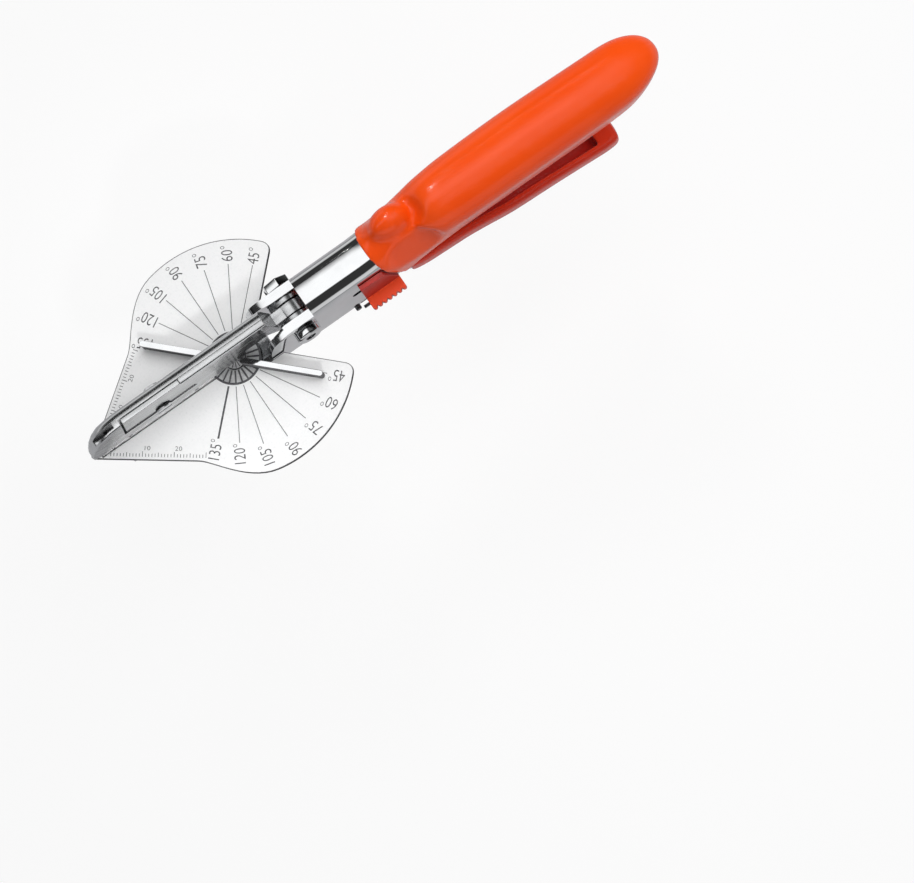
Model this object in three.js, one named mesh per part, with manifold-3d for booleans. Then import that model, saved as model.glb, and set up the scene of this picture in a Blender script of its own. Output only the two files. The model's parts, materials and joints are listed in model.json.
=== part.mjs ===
// Mitre shears with a protractor plate, a turning fence and a latch.
// Millimetres. +X runs from the turntable centre to the handles, +Y is the tool's left side, +Z is up.
// The origin lies on the flat underside of the jaw bar, straight below the turntable centre.
import * as THREE from 'three';
import { mergeVertices } from 'three/addons/utils/BufferGeometryUtils.js';
import Module from 'manifold-3d';

const wasm = await Module();
wasm.setup();

// Clearances
const fitGap = 0.3; // between faces that slide or that were cut to fit
const holeGap = 0.3; // round a pin in its hole
const runGap = 0.3; // above the plate for what turns over it

// Jaw and plate
const jawThickness = 5;
const plateThickness = 1.5;
const plateTop = jawThickness + plateThickness;
const plateTipX = -54.4;
const tipRound = 1.2;
const tipHalfAngle = 36.5;
const lobeRadius = 37.6;
const lobeStartX = -27;
const lobeCrownX = -8;
const notchOffset = 6.1; // where the two rear edges of the plate would meet on the axis
const plateCornerCut = 3;
const railFrontX = -44;
const jawNoseX = -51;
const jawNoseHalfWidth = 1.4;
const jawRearX = 12;
const anvilWidth = 3.4;
const anvilDepth = 0.9;
const anvilFrontX = -50.5;
const grooveWidth = 1.2;
const grooveDepth = 0.3;
const plateScrewRadius = 1.2;
const plateScrewHeadRadius = 2.4;
const plateScrewHeadHeight = 1.2;
const plateScrewXs = { front: -40, rear: -15 };
const jawRivetRadius = 1.2;
const jawRivetHeadRadius = 2.1;
const jawRivetHeadHeight = 0.8;
const jawRivetXs = { front: -32, rear: -22 };

// Turntable and fence
const discRadius = 8;
const discGrooves = 12;
const discGrooveWidth = 0.6;
const discGrooveDepth = 0.35;
const pivotRadius = 1.9;
const pivotHeadRadius = 3.3;
const pivotHeadHeight = 0.5;
const pivotWasherRadius = 3.6;
const pivotWasherThickness = 0.3;
const pivotSunk = 0.2; // screw head below the disc's face
const pivotFloor = 1; // left under the blind hole of the pivot screw
const fenceInner = 2.8;
const fenceEndMargin = 8.4; // from the end of a bar to the plate's round edge
const fenceOuter = lobeRadius - fenceEndMargin;
const fenceThickness = 1.9;
const fenceHeight = 4.6;
const fenceAhead = 1; // how far the bars' centre line lies ahead of the pivot
const fenceRestAngle = -45;
const fencePinRadius = 0.55;
const fencePinReach = 5.6; // distance of a pin from the pivot
const fencePinDepth = 2.6; // into the bar

// Frame channel
const frameSheet = 2.4;
const frameHalfWidth = 7.3;
const frameTop = 21.5;
const frameBend = 4.3;
const frameRearX = 150;
const webFrontX = 27.9;
const cheekFrontX = 9.6;
const cheekTop = 18.8;

// Hinge
const hingeX = 23.5;
const hingeZ = 11.5;
const bossRadius = 6.3;
const boltRadius = 2.5;
const boltHeadRadius = 4.2;
const boltHeadHeight = 2.6;
const boltSocketRadius = 1.9;
const boltSocketDepth = 1.4;
const sleeveWall = 0.6;
const washerRadius = 4.9;
const washerThickness = 0.7;
const nutAcrossFlats = 8;
const nutHeight = 2.9;
const nutTurn = 12;

// Lever and the tongue of the arm
const leverSheet = 1.2;
const earThickness = 2.2;
const tongueHalfWidth = 1.9;
const leverHalfWidth = frameHalfWidth - frameSheet - fitGap;
const leverRearX = 132;
const leverRivetRadius = 1.5;
const leverRivets = { upper: [31, 11], lower: [33.6, 6.4] };

// Blade arm
const armHalfWidth = 2.7;
const armHeight = 20.5; // these three are heights above the plate
const armClearance = 5.4;
const armRearClearance = 9;
const armTop = plateTop + armHeight;
const armBottom = plateTop + armClearance;
const armRearBottom = plateTop + armRearClearance;
const armRearX = 14.5;
const armRearLean = 2.6;
const armStepX = 4.4;
const armFrontX = -53.2;
const armBackBend = 2.4;
const armEdgeBend = 0.5;
const bladeThickness = 1;
const bladeFrontX = -50.6;
const bladeRearX = 4.2;
const bladeLift = 0.3; // edge above the anvil when closed
const bladeBack = plateTop + 13.8;
const bladeBevel = 2.4;
const clampFrontX = -37.6;
const clampRearX = -16.6;
const clampFrontLean = 1.6;
const clampRearLean = 3.3;
const clampBottom = plateTop + 10;
const clampFrontGap = 0.8;
const clampSunk = 0.3;
const seamWidth = 0.25;
const seamDepth = 0.4;
const pocketFrontX = -49;
const pocketRearX = -40.6;
const pocketDepth = 8;
const clampScrewX = -25.5;
const clampScrewZ = plateTop + 9.6;
const clampScrewRadius = 1.5;
const clampHeadRadius = 2.8;
const clampHeadHeight = 0.6;
const clampNutAcrossFlats = 5.5;
const clampNutHeight = 2.2;

// Return spring
const springPinX = 42;
const springPinZ = 3.4;
const springPinRadius = 1.8;
const springWireRadius = 0.5;
const springCoilRadius = 2.9; // to the middle of the wire
const springPitch = 1.42;
const springUpperLegAngle = 51;
const springLowerLegAngle = -20;
const springLowerLeg = 11.5;
const springTurns = 2; // whole turns, besides the part turn between the legs

// Latch
const catchPinX = 40.3;
const catchPinZ = -1.6;
const catchPinRadius = 1;
const catchPinReach = 8.2; // how far it stands out to the right of the axis
const latchTravel = 4.2;
const latchFrontX = 44;
const latchRearX = 56.4;
const latchTop = 18.4;
const tabBottom = 4.2;
const tabThickness = 2.2;
const tabReach = 13; // outer edge of the thumb tab from the axis
const tabRibs = 7;
const tabRibRadius = 0.75;
const sliderThickness = 1.3;
const bracketThickness = 0.9;
const fingerDepth = 1.1;
const latchPinRadius = 0.9;
const latchPinXs = { front: 46.4, rear: 50.4 };
const latchPinZ = 12.4;
const keeperThickness = 0.8;
const keeperHalfHeight = 1.9;
const latchRivetX = 50;
const tabRoom = tabReach - frameHalfWidth - fitGap - bracketThickness;
const latchRivetRadius = 0.22 * tabRoom;
const latchRivetHeadRadius = 0.33 * tabRoom;

// Grips
const gripSkin = 2.5;
const gripInnerSkin = 0.5;
const gripLip = 1.9; // skin below the edges of the sheet
const gripDomeX = 143;
const gripRearX = 161;
const gripTailShift = 2; // the tail of the upper grip leans to the left
const innerSkinFrontX = 58; // the lever runs between the walls ahead of this
const mouthTopX = 51.4;
const mouthBottomX = 60;
const mouthTopZ = 24.4;
const knobX = 63.6;
const knobY = 0.8;
const knobHalfLength = 6.4;
const knobHalfWidth = 6.6;
const knobHalfHeight = 5.4;
const knobSunk = 1.8;
const gripBottomSkin = 1.25; // beside the edges of the sheet
const lowerSkin = 1.4;
const lowerLip = 1.3;
const lowerGripFrontX = 60.6;
const lowerGripRearX = 139;
const lowerHollowRearX = 130.5;
const wayOut = 30; // cutting tools run this far past what they cut

// Stations along the frame channel: x, half width, bottom, top, outer bend
const frameStations = [
  [railFrontX, frameHalfWidth, 0, frameTop, frameBend],
  [48, frameHalfWidth, 0, frameTop, frameBend],
  [54, frameHalfWidth, 2, frameTop + 1, frameBend],
  [57, frameHalfWidth, 3.6, frameTop + 1.8, frameBend],
  [62, frameHalfWidth, 6, frameTop + 2.8, frameBend],
  [68, frameHalfWidth, 7.8, frameTop + 3.8, frameBend],
  [72, frameHalfWidth, 8.6, frameTop + 5, frameBend],
  [77, frameHalfWidth, 9.2, frameTop + 7, frameBend],
  [85, frameHalfWidth, 9.8, frameTop + 7.8, frameBend],
  [130, frameHalfWidth, 9.8, frameTop + 7.8, frameBend],
  [frameRearX, frameHalfWidth, 11.5, frameTop + 6.6, frameBend],
];
const frameRings = [railFrontX, 48, 51, 54, 57, 59.5, 62, 65, 68, 70, 72, 74.5, 77, 80, 85, 107, 130, 140];

// Stations along the upper grip: x, and how much wider than the front skin it is at mid height
const gripSwell = [[48, -0.7], [55, -0.6], [62, 0.2], [72, 1], [85, 1.5], [130, 1.5], [gripDomeX, 1.2]];

// Stations along the lower lever: x, half width, bottom, top, outer bend
const leverStations = [
  [30, leverHalfWidth, 1.6, 15, 1.6],
  [34, leverHalfWidth, -0.4, 13, 1.6],
  [38, leverHalfWidth, -2.2, 9.8, 1.6],
  [44, leverHalfWidth, -4, 7, 1.6],
  [52, leverHalfWidth, -5.2, 4, 1.6],
  [57, leverHalfWidth, -6, 1.8, 1.6],
  [61, leverHalfWidth + 1.7, -6.8, 0.6, 2.6],
  [66, leverHalfWidth + 2.4, -7.3, 0.3, 4],
  [72, leverHalfWidth + 2.6, -7.7, 0.1, 5],
  [80, leverHalfWidth + 2.8, -8.2, -0.2, 5],
  [90, leverHalfWidth + 2.9, -11.5, -3.2, 5],
  [97, leverHalfWidth + 3, -14.2, -6, 5],
  [114, leverHalfWidth + 3.1, -16.5, -8.5, 5],
  [leverRearX, leverHalfWidth + 3.2, -20, -12, 5],
];
const leverRings = [52, 55, 57, 58, 59.5, 61, 63.5, 66, 69, 72, 76, 80, 85, 90, 93.5, 97, 105, 114, 124];

// Finishes
const finishes = {
  chrome: { color: 0xd9dbdc, roughness: 0.12, metalness: 1 },
  steel: { color: 0xc4c7c9, roughness: 0.3, metalness: 1 },
  satin: { color: 0xe8eaea, roughness: 0.45, metalness: 0.7 },
  dark: { color: 0x6f7275, roughness: 0.4, metalness: 0.9 },
  vinyl: { color: 0xf2541b, roughness: 0.22, metalness: 0 },
  plastic: { color: 0xd83a1a, roughness: 0.45, metalness: 0 },
};

// Turning meshes into solids for cutting and joining, and back
function solid(geometry) {
  const bare = geometry.clone();
  bare.deleteAttribute('normal');
  bare.deleteAttribute('uv');
  const merged = mergeVertices(bare, 1e-5);
  const vertProperties = new Float32Array(merged.attributes.position.array);
  const triVerts = new Uint32Array(merged.index.array);
  return new wasm.Manifold(new wasm.Mesh({ numProp: 3, vertProperties, triVerts }));
}

function geometryOf(body) {
  const mesh = body.getMesh();
  const geometry = new THREE.BufferGeometry();
  geometry.setAttribute('position', new THREE.BufferAttribute(new Float32Array(mesh.vertProperties), 3));
  geometry.setIndex(new THREE.BufferAttribute(new Uint32Array(mesh.triVerts), 1));
  geometry.computeVertexNormals();
  return geometry;
}

function joined(...bodies) {
  return bodies.reduce((whole, body) => whole.add(body));
}

function cut(body, ...tools) {
  return tools.reduce((left, tool) => left.subtract(tool), body);
}

// Basic shapes in the tool's own frame
function outline(points) {
  return new THREE.Shape(points.map(([a, b]) => new THREE.Vector2(a, b)));
}

// A side view, drawn in X and Z, as thick as from rightY to leftY
function sidePlate(shape, rightY, leftY, curveSegments = 8) {
  const settings = { depth: leftY - rightY, bevelEnabled: false, curveSegments };
  const geometry = new THREE.ExtrudeGeometry(shape, settings);
  geometry.rotateX(Math.PI / 2);
  geometry.translate(0, leftY, 0);
  return solid(geometry);
}

// A top view, drawn in X and Y, as tall as from bottomZ to topZ
function flatPlate(shape, bottomZ, topZ, curveSegments = 8) {
  const settings = { depth: topZ - bottomZ, bevelEnabled: false, curveSegments };
  const geometry = new THREE.ExtrudeGeometry(shape, settings);
  geometry.translate(0, 0, bottomZ);
  return solid(geometry);
}

function block([x0, x1], [y0, y1], [z0, z1]) {
  const geometry = new THREE.BoxGeometry(x1 - x0, y1 - y0, z1 - z0);
  geometry.translate((x0 + x1) / 2, (y0 + y1) / 2, (z0 + z1) / 2);
  return solid(geometry);
}

// A round rod across the tool, along Y
function crossRod(radius, x, z, fromY, toY, sides = 20) {
  const geometry = new THREE.CylinderGeometry(radius, radius, toY - fromY, sides);
  geometry.translate(x, (fromY + toY) / 2, z);
  return solid(geometry);
}

// A round rod that stands upright, along Z
function uprightRod(radius, x, y, fromZ, toZ, sides = 20) {
  const geometry = new THREE.CylinderGeometry(radius, radius, toZ - fromZ, sides);
  geometry.rotateX(Math.PI / 2);
  geometry.translate(x, y, (fromZ + toZ) / 2);
  return solid(geometry);
}

// A turned piece: radius and distance pairs, from the axis back to the axis
function turned(profile, sides = 24) {
  const points = profile.map(([radius, along]) => new THREE.Vector2(radius, along));
  return new THREE.LatheGeometry(points, sides);
}

// A body through cross-sections, each a ring of [x, y, z] points of one count
function loft(rings) {
  const count = rings[0].length;
  const flat = rings[0].map(([, y, z]) => new THREE.Vector2(y, z));
  const ordered = THREE.ShapeUtils.isClockWise(flat) ? rings.map((ring) => [...ring].reverse()) : rings;
  const contour = ordered[0].map(([, y, z]) => new THREE.Vector2(y, z));
  const cap = THREE.ShapeUtils.triangulateShape(contour, []);
  const last = (ordered.length - 1) * count;
  const index = [];
  for (let k = 0; k < ordered.length - 1; k += 1) {
    for (let i = 0; i < count; i += 1) {
      const a = k * count + i;
      const b = k * count + ((i + 1) % count);
      index.push(a, b, b + count, a, b + count, a + count);
    }
  }
  for (const [a, b, c] of cap) {
    index.push(a, c, b);
    index.push(last + a, last + b, last + c);
  }
  const geometry = new THREE.BufferGeometry();
  geometry.setAttribute('position', new THREE.Float32BufferAttribute(ordered.flat(2), 3));
  geometry.setIndex(index);
  return solid(geometry);
}

// A tube through points, with one ring of sides at each point
function tubeAlong(points, radius, sides) {
  const count = points.length;
  const tangents = points.map((point, i) => {
    const before = points[Math.max(i - 1, 0)];
    const after = points[Math.min(i + 1, count - 1)];
    return after.clone().sub(before).normalize();
  });
  let side = new THREE.Vector3(0, 1, 0);
  const positions = [];
  points.forEach((point, i) => {
    side = side.clone().addScaledVector(tangents[i], -side.dot(tangents[i])).normalize();
    const up = new THREE.Vector3().crossVectors(tangents[i], side);
    for (let k = 0; k < sides; k += 1) {
      const angle = (2 * Math.PI * k) / sides;
      const corner = point.clone();
      corner.addScaledVector(side, radius * Math.cos(angle));
      corner.addScaledVector(up, radius * Math.sin(angle));
      positions.push(corner.x, corner.y, corner.z);
    }
  });
  const index = [];
  for (let i = 0; i < count - 1; i += 1) {
    for (let k = 0; k < sides; k += 1) {
      const a = i * sides + k;
      const b = i * sides + ((k + 1) % sides);
      index.push(a, b, b + sides, a, b + sides, a + sides);
    }
  }
  const last = (count - 1) * sides;
  for (let k = 1; k < sides - 1; k += 1) {
    index.push(0, k + 1, k);
    index.push(last, last + k, last + k + 1);
  }
  const geometry = new THREE.BufferGeometry();
  geometry.setAttribute('position', new THREE.Float32BufferAttribute(positions, 3));
  geometry.setIndex(index);
  return geometry;
}

// Values between stations, eased so that the walls run smoothly
function between(stations, x) {
  const last = stations.length - 1;
  if (x <= stations[0][0]) return stations[0];
  if (x >= stations[last][0]) return stations[last];
  const next = stations.findIndex((station) => station[0] >= x);
  const before = stations[next - 1];
  const after = stations[next];
  const span = after[0] - before[0];
  const t = (x - before[0]) / span;
  return before.map((value, k) => {
    const leaving = slopeAt(stations, next - 1, k) * span;
    const arriving = slopeAt(stations, next, k) * span;
    const rise = after[k] - value;
    return value + t * leaving + t * t * (3 * rise - 2 * leaving - arriving)
      + t * t * t * (leaving + arriving - 2 * rise);
  });
}

// Slope of one value at a station: a mean of the slopes on its two sides, or level at a crest
function slopeAt(stations, i, k) {
  const slope = (a, b) => (stations[b][k] - stations[a][k]) / (stations[b][0] - stations[a][0]);
  if (i === 0) return slope(0, 1);
  if (i === stations.length - 1) return slope(i - 1, i);
  const behind = slope(i - 1, i);
  const ahead = slope(i, i + 1);
  return behind * ahead > 0 ? (2 * behind * ahead) / (behind + ahead) : 0;
}

function arc(centreY, centreZ, radius, fromDegrees, toDegrees, steps) {
  const points = [];
  for (let i = 0; i <= steps; i += 1) {
    const angle = THREE.MathUtils.degToRad(fromDegrees + ((toDegrees - fromDegrees) * i) / steps);
    points.push([centreY + radius * Math.cos(angle), centreZ + radius * Math.sin(angle)]);
  }
  return points;
}

// Section of a bent sheet channel that opens downwards; turned over, one that opens upwards
function channelRing(x, halfWidth, bottom, top, sheet, bend, opensUp = false) {
  const inner = Math.max(bend - sheet, 0.3);
  const innerTop = top - sheet - inner;
  const innerSide = halfWidth - sheet - inner;
  const section = [
    [-halfWidth, bottom],
    ...arc(-halfWidth + bend, top - bend, bend, 180, 90, 4),
    ...arc(halfWidth - bend, top - bend, bend, 90, 0, 4),
    [halfWidth, bottom],
    [halfWidth - sheet, bottom],
    ...arc(innerSide, innerTop, inner, 0, 90, 3),
    ...arc(-innerSide, innerTop, inner, 90, 180, 3),
    [-halfWidth + sheet, bottom],
  ];
  return section.map(([y, z]) => [x, y, opensUp ? top + bottom - z : z]);
}

// Section of a rounded bar
function barRing(x, centreY, halfWidth, bottom, top, topBend, bottomBend) {
  const left = centreY - halfWidth;
  const right = centreY + halfWidth;
  const section = [
    ...arc(left + topBend, top - topBend, topBend, 180, 90, 5),
    ...arc(right - topBend, top - topBend, topBend, 90, 0, 5),
    ...arc(right - bottomBend, bottom + bottomBend, bottomBend, 0, -90, 3),
    ...arc(left + bottomBend, bottom + bottomBend, bottomBend, -90, -180, 3),
  ];
  return section.map(([y, z]) => [x, y, z]);
}

const part = new THREE.Group();
const frameGroup = new THREE.Group();
const fenceGroup = new THREE.Group();
const leverGroup = new THREE.Group();
const latchGroup = new THREE.Group();
fenceGroup.rotation.z = THREE.MathUtils.degToRad(fenceRestAngle);
part.add(frameGroup, fenceGroup, leverGroup, latchGroup);

function node(group, name, shape, finish) {
  const geometry = shape.isBufferGeometry ? shape : geometryOf(shape);
  const mesh = new THREE.Mesh(geometry, new THREE.MeshStandardMaterial(finishes[finish]));
  mesh.name = name;
  group.add(mesh);
  return mesh;
}

// Jaw: bar, plate, anvil strip and what holds them
const frameInner = frameHalfWidth - frameSheet;
const screwTop = plateTop - grooveDepth - 0.1;

function jawBar() {
  const half = frameInner - fitGap;
  const shoulder = railFrontX - 1;
  const top = outline([
    [jawRearX, -half], [jawRearX, half], [shoulder, half], [jawNoseX, jawNoseHalfWidth],
    [jawNoseX, -jawNoseHalfWidth], [shoulder, -half],
  ]);
  const holes = Object.values(plateScrewXs).map((x) => plateScrewHole(x));
  const rivetHoles = Object.values(jawRivetXs).map(
    (x) => crossRod(jawRivetRadius + holeGap, x, jawThickness / 2, -half - 1, half + 1));
  const pivotHole = uprightRod(pivotRadius + holeGap, 0, 0, pivotFloor - holeGap, jawThickness + 1);
  return cut(flatPlate(top, 0, jawThickness), pivotHole, ...holes, ...rivetHoles);
}

function plateScrewHole(x) {
  const head = uprightRod(plateScrewHeadRadius + holeGap, x, 0, -1, plateScrewHeadHeight + 2 * fitGap);
  return head.add(uprightRod(plateScrewRadius + holeGap, x, 0, 0, plateTop + 1));
}

// Outline of the plate's left half, from the tip round the lobe to the axis behind the turntable
function plateOutline() {
  const slope = Math.tan(THREE.MathUtils.degToRad(tipHalfAngle));
  const edgeAngle = THREE.MathUtils.degToRad(tipHalfAngle);
  const crownY = Math.sqrt(lobeRadius ** 2 - lobeCrownX ** 2);
  const startY = (lobeStartX - plateTipX) * slope;
  const crownAngle = Math.atan2(crownY, lobeCrownX);
  const crownTangent = [Math.sin(crownAngle), -Math.cos(crownAngle)];
  const cornerX = (notchOffset + Math.sqrt(2 * lobeRadius ** 2 - notchOffset ** 2)) / 2;
  const cornerY = cornerX - notchOffset;
  const cornerAngle = Math.atan2(cornerY, cornerX) + plateCornerCut / lobeRadius;
  const shape = new THREE.Shape();
  shape.moveTo(plateTipX + tipRound, -tipRound * slope);
  shape.quadraticCurveTo(plateTipX, 0, plateTipX + tipRound, tipRound * slope);
  shape.lineTo(lobeStartX, startY);
  shape.bezierCurveTo(
    lobeStartX + 4.5 * Math.cos(edgeAngle), startY + 4.5 * Math.sin(edgeAngle),
    lobeCrownX - 10 * crownTangent[0], crownY - 10 * crownTangent[1],
    lobeCrownX, crownY);
  shape.absarc(0, 0, lobeRadius, crownAngle, cornerAngle, true);
  const afterX = cornerX - plateCornerCut * Math.SQRT1_2;
  shape.quadraticCurveTo(cornerX, cornerY, afterX, afterX - notchOffset);
  shape.lineTo(notchOffset, 0);
  shape.lineTo(afterX, notchOffset - afterX);
  shape.quadraticCurveTo(
    cornerX, -cornerY,
    lobeRadius * Math.cos(cornerAngle), -lobeRadius * Math.sin(cornerAngle));
  shape.absarc(0, 0, lobeRadius, -cornerAngle, -crownAngle, true);
  shape.bezierCurveTo(
    lobeCrownX - 10 * crownTangent[0], -crownY + 10 * crownTangent[1],
    lobeStartX + 4.5 * Math.cos(edgeAngle), -startY - 4.5 * Math.sin(edgeAngle),
    lobeStartX, -startY);
  shape.lineTo(plateTipX + tipRound, -tipRound * slope);
  return shape;
}

function anvilOutline(margin) {
  const half = anvilWidth / 2 + margin;
  const rear = -discRadius - 2 * fitGap;
  const nose = anvilFrontX - margin;
  return outline([[rear + 5 * margin, -half], [rear + 5 * margin, half], [nose, half], [nose, -half]]);
}

function protractorPlate() {
  const body = flatPlate(plateOutline(), jawThickness, plateTop, 14);
  const hole = uprightRod(discRadius + fitGap, 0, 0, jawThickness - 1, plateTop + 1, 48);
  const notch = block(
    [notchOffset, notchOffset + 2 * frameHalfWidth + 10],
    [-frameHalfWidth - fitGap, frameHalfWidth + fitGap],
    [jawThickness - 1, plateTop + 1]);
  const inlay = flatPlate(anvilOutline(fitGap), plateTop - anvilDepth, plateTop + 1);
  const screwHoles = Object.values(plateScrewXs).map((x) => plateScrewHole(x));
  return cut(body, hole, notch, inlay, ...screwHoles);
}

function anvilStrip() {
  const body = flatPlate(anvilOutline(0), plateTop - anvilDepth, plateTop);
  const groove = block(
    [anvilFrontX - 1, 1], [-grooveWidth / 2, grooveWidth / 2], [plateTop - grooveDepth, plateTop + 1]);
  const screwHoles = Object.values(plateScrewXs).map((x) => plateScrewHole(x));
  return cut(body, groove, ...screwHoles);
}

function plateScrew(x) {
  const profile = [
    [0, 0], [plateScrewHeadRadius, 0], [plateScrewHeadRadius, plateScrewHeadHeight / 3],
    [plateScrewRadius, plateScrewHeadHeight], [plateScrewRadius, screwTop - fitGap], [0, screwTop - fitGap],
  ];
  const geometry = turned(profile, 18);
  geometry.rotateX(Math.PI / 2);
  geometry.translate(x, 0, fitGap);
  return geometry;
}

function jawRivet(x) {
  const headStart = frameHalfWidth + jawRivetHeadHeight;
  const profile = [
    [0, -headStart], [jawRivetHeadRadius * 0.7, -headStart], [jawRivetHeadRadius, -frameHalfWidth],
    [jawRivetRadius, -frameHalfWidth], [jawRivetRadius, frameHalfWidth],
    [jawRivetHeadRadius, frameHalfWidth], [jawRivetHeadRadius * 0.7, headStart], [0, headStart],
  ];
  const geometry = turned(profile, 18);
  geometry.translate(x, 0, jawThickness / 2);
  return geometry;
}

node(frameGroup, 'jaw_bar', jawBar(), 'steel');
node(frameGroup, 'protractor_plate', protractorPlate(), 'satin');
node(frameGroup, 'anvil_strip', anvilStrip(), 'dark');
for (const [place, x] of Object.entries(plateScrewXs)) {
  node(frameGroup, `plate_screw_${place}`, plateScrew(x), 'steel');
}
for (const [place, x] of Object.entries(jawRivetXs)) {
  node(frameGroup, `jaw_rivet_${place}`, jawRivet(x), 'steel');
}

// Turntable: disc with radial grooves, its screw and spring washer, and the two fence bars
const counterboreFloor = plateTop - pivotWasherThickness - pivotHeadHeight - pivotSunk;
const fencePinTop = plateTop + fencePinDepth;

function turntableDisc() {
  const body = uprightRod(discRadius, 0, 0, jawThickness, plateTop, 48);
  const counterbore = uprightRod(pivotWasherRadius + holeGap, 0, 0, counterboreFloor, plateTop + 1, 24);
  const bore = uprightRod(pivotRadius + holeGap, 0, 0, jawThickness - 1, plateTop + 1);
  const grooves = [];
  for (let i = 0; i < discGrooves; i += 1) {
    const groove = block(
      [-discRadius - 1, discRadius + 1], [-discGrooveWidth / 2, discGrooveWidth / 2],
      [plateTop - discGrooveDepth, plateTop + 1]);
    grooves.push(groove.rotate([0, 0, (180 * i) / discGrooves]));
  }
  return cut(body, counterbore, bore, ...grooves, ...fencePins(fencePinRadius + holeGap, jawThickness - 1));
}

function fencePins(radius, bottom) {
  return [-1, 1].map(
    (side) => uprightRod(radius, side * fencePinReach, -fenceAhead, bottom, fencePinTop + fitGap, 12));
}

// One bar along X; side is 1 for the right bar and -1 for the left one
function fenceBar(side) {
  const half = fenceThickness / 2;
  const top = plateTop + runGap + fenceHeight;
  const plan = new THREE.Shape();
  plan.absarc(fenceInner + half, -fenceAhead, half, Math.PI / 2, 1.5 * Math.PI, false);
  plan.absarc(fenceOuter - half, -fenceAhead, half, 1.5 * Math.PI, 2.5 * Math.PI, false);
  const bar = flatPlate(plan, plateTop, top, 8);
  const under = block(
    [discRadius - 2 * fitGap, fenceOuter + 1], [-fenceAhead - half - 1, -fenceAhead + half + 1],
    [plateTop - 1, plateTop + runGap]);
  const standing = side > 0 ? cut(bar, under) : cut(bar, under).mirror([1, 0, 0]);
  return cut(standing, ...fencePins(fencePinRadius + holeGap, jawThickness));
}

function fencePin(side) {
  return uprightRod(fencePinRadius, side * fencePinReach, -fenceAhead, jawThickness + 0.1, fencePinTop, 12);
}

function pivotScrew() {
  const seat = counterboreFloor + pivotWasherThickness;
  const head = seat + pivotHeadHeight;
  const body = joined(
    uprightRod(pivotRadius, 0, 0, pivotFloor, seat + 0.1), uprightRod(pivotHeadRadius, 0, 0, seat, head, 24));
  const slot = block([-pivotHeadRadius - 1, pivotHeadRadius + 1], [-0.4, 0.4], [head - 0.25, head + 1]);
  return cut(body, slot);
}

function pivotWasher() {
  const washerTop = counterboreFloor + pivotWasherThickness;
  const ring = uprightRod(pivotWasherRadius, 0, 0, counterboreFloor, washerTop, 24);
  return cut(ring, uprightRod(pivotRadius + holeGap, 0, 0, 0, plateTop));
}

node(frameGroup, 'turntable_screw', pivotScrew(), 'steel');
node(frameGroup, 'turntable_washer', pivotWasher(), 'dark');
node(fenceGroup, 'turntable_disc', turntableDisc(), 'satin');
for (const [place, side] of [['right', 1], ['left', -1]]) {
  node(fenceGroup, `fence_${place}`, fenceBar(side), 'steel');
  node(fenceGroup, `fence_pin_${place}`, fencePin(side), 'steel');
}

// Frame: one bent channel, cut open over the hinge and down to two rails under the plate
function frameChannel() {
  const channel = loft([...frameRings, frameRearX].map((x) => {
    const [, halfWidth, bottom, top, bend] = between(frameStations, x);
    return channelRing(x, halfWidth, bottom, top, frameSheet, bend);
  }));
  const open = new THREE.Shape();
  open.moveTo(railFrontX - 5, jawThickness);
  open.lineTo(cheekFrontX, jawThickness);
  open.quadraticCurveTo(cheekFrontX + 0.4, cheekTop - 6, cheekFrontX + 3, cheekTop - 2.6);
  open.quadraticCurveTo(cheekFrontX + 5, cheekTop - 0.6, cheekFrontX + 9.4, cheekTop);
  open.lineTo(webFrontX, cheekTop);
  open.lineTo(webFrontX, frameTop + 10);
  open.lineTo(railFrontX - 5, frameTop + 10);
  const width = frameHalfWidth + 1;
  const rivetHoles = Object.values(jawRivetXs).map(
    (x) => crossRod(jawRivetRadius + holeGap, x, jawThickness / 2, -width, width));
  const boltHole = crossRod(boltRadius + holeGap, hingeX, hingeZ, -width, width, 24);
  return cut(channel, sidePlate(open, -width - 4, width + 4), ...rivetHoles, boltHole, latchSlot());
}

function latchSlot() {
  const half = latchPinRadius + holeGap;
  const front = latchPinXs.front - latchTravel;
  const slot = new THREE.Shape();
  slot.absarc(front, latchPinZ, half, Math.PI / 2, 1.5 * Math.PI, false);
  slot.absarc(latchPinXs.rear, latchPinZ, half, 1.5 * Math.PI, 2.5 * Math.PI, false);
  return sidePlate(slot, -frameHalfWidth - 1, -frameInner + 1, 6);
}

node(frameGroup, 'frame_channel', frameChannel(), 'chrome');

// Hinge: bolt from the right, washer and nut on the left, a sleeve between the cheeks
function hingeBolt() {
  const headEnd = -frameHalfWidth - boltHeadHeight;
  const threadEnd = frameHalfWidth + washerThickness + nutHeight + 0.5;
  const profile = [
    [0, headEnd], [boltHeadRadius - 0.5, headEnd], [boltHeadRadius, headEnd + 0.5],
    [boltHeadRadius, -frameHalfWidth], [boltRadius, -frameHalfWidth], [boltRadius, threadEnd], [0, threadEnd],
  ];
  const geometry = turned(profile, 28);
  geometry.translate(hingeX, 0, hingeZ);
  const socketEnd = headEnd + boltSocketDepth;
  return cut(solid(geometry), crossRod(boltSocketRadius, hingeX, hingeZ, headEnd - 1, socketEnd, 6));
}

function ring(outer, inner, fromY, toY, sides = 28) {
  const body = crossRod(outer, hingeX, hingeZ, fromY, toY, sides);
  return cut(body, crossRod(inner, hingeX, hingeZ, fromY - 1, toY + 1, 24));
}

function hexNut(acrossFlats, bore, x, z, fromY, toY, turn) {
  const corner = acrossFlats / Math.sqrt(3);
  const geometry = new THREE.CylinderGeometry(corner, corner, toY - fromY, 6);
  geometry.rotateY(THREE.MathUtils.degToRad(turn));
  geometry.translate(x, (fromY + toY) / 2, z);
  return cut(solid(geometry), crossRod(bore, x, z, fromY - 1, toY + 1));
}

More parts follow.
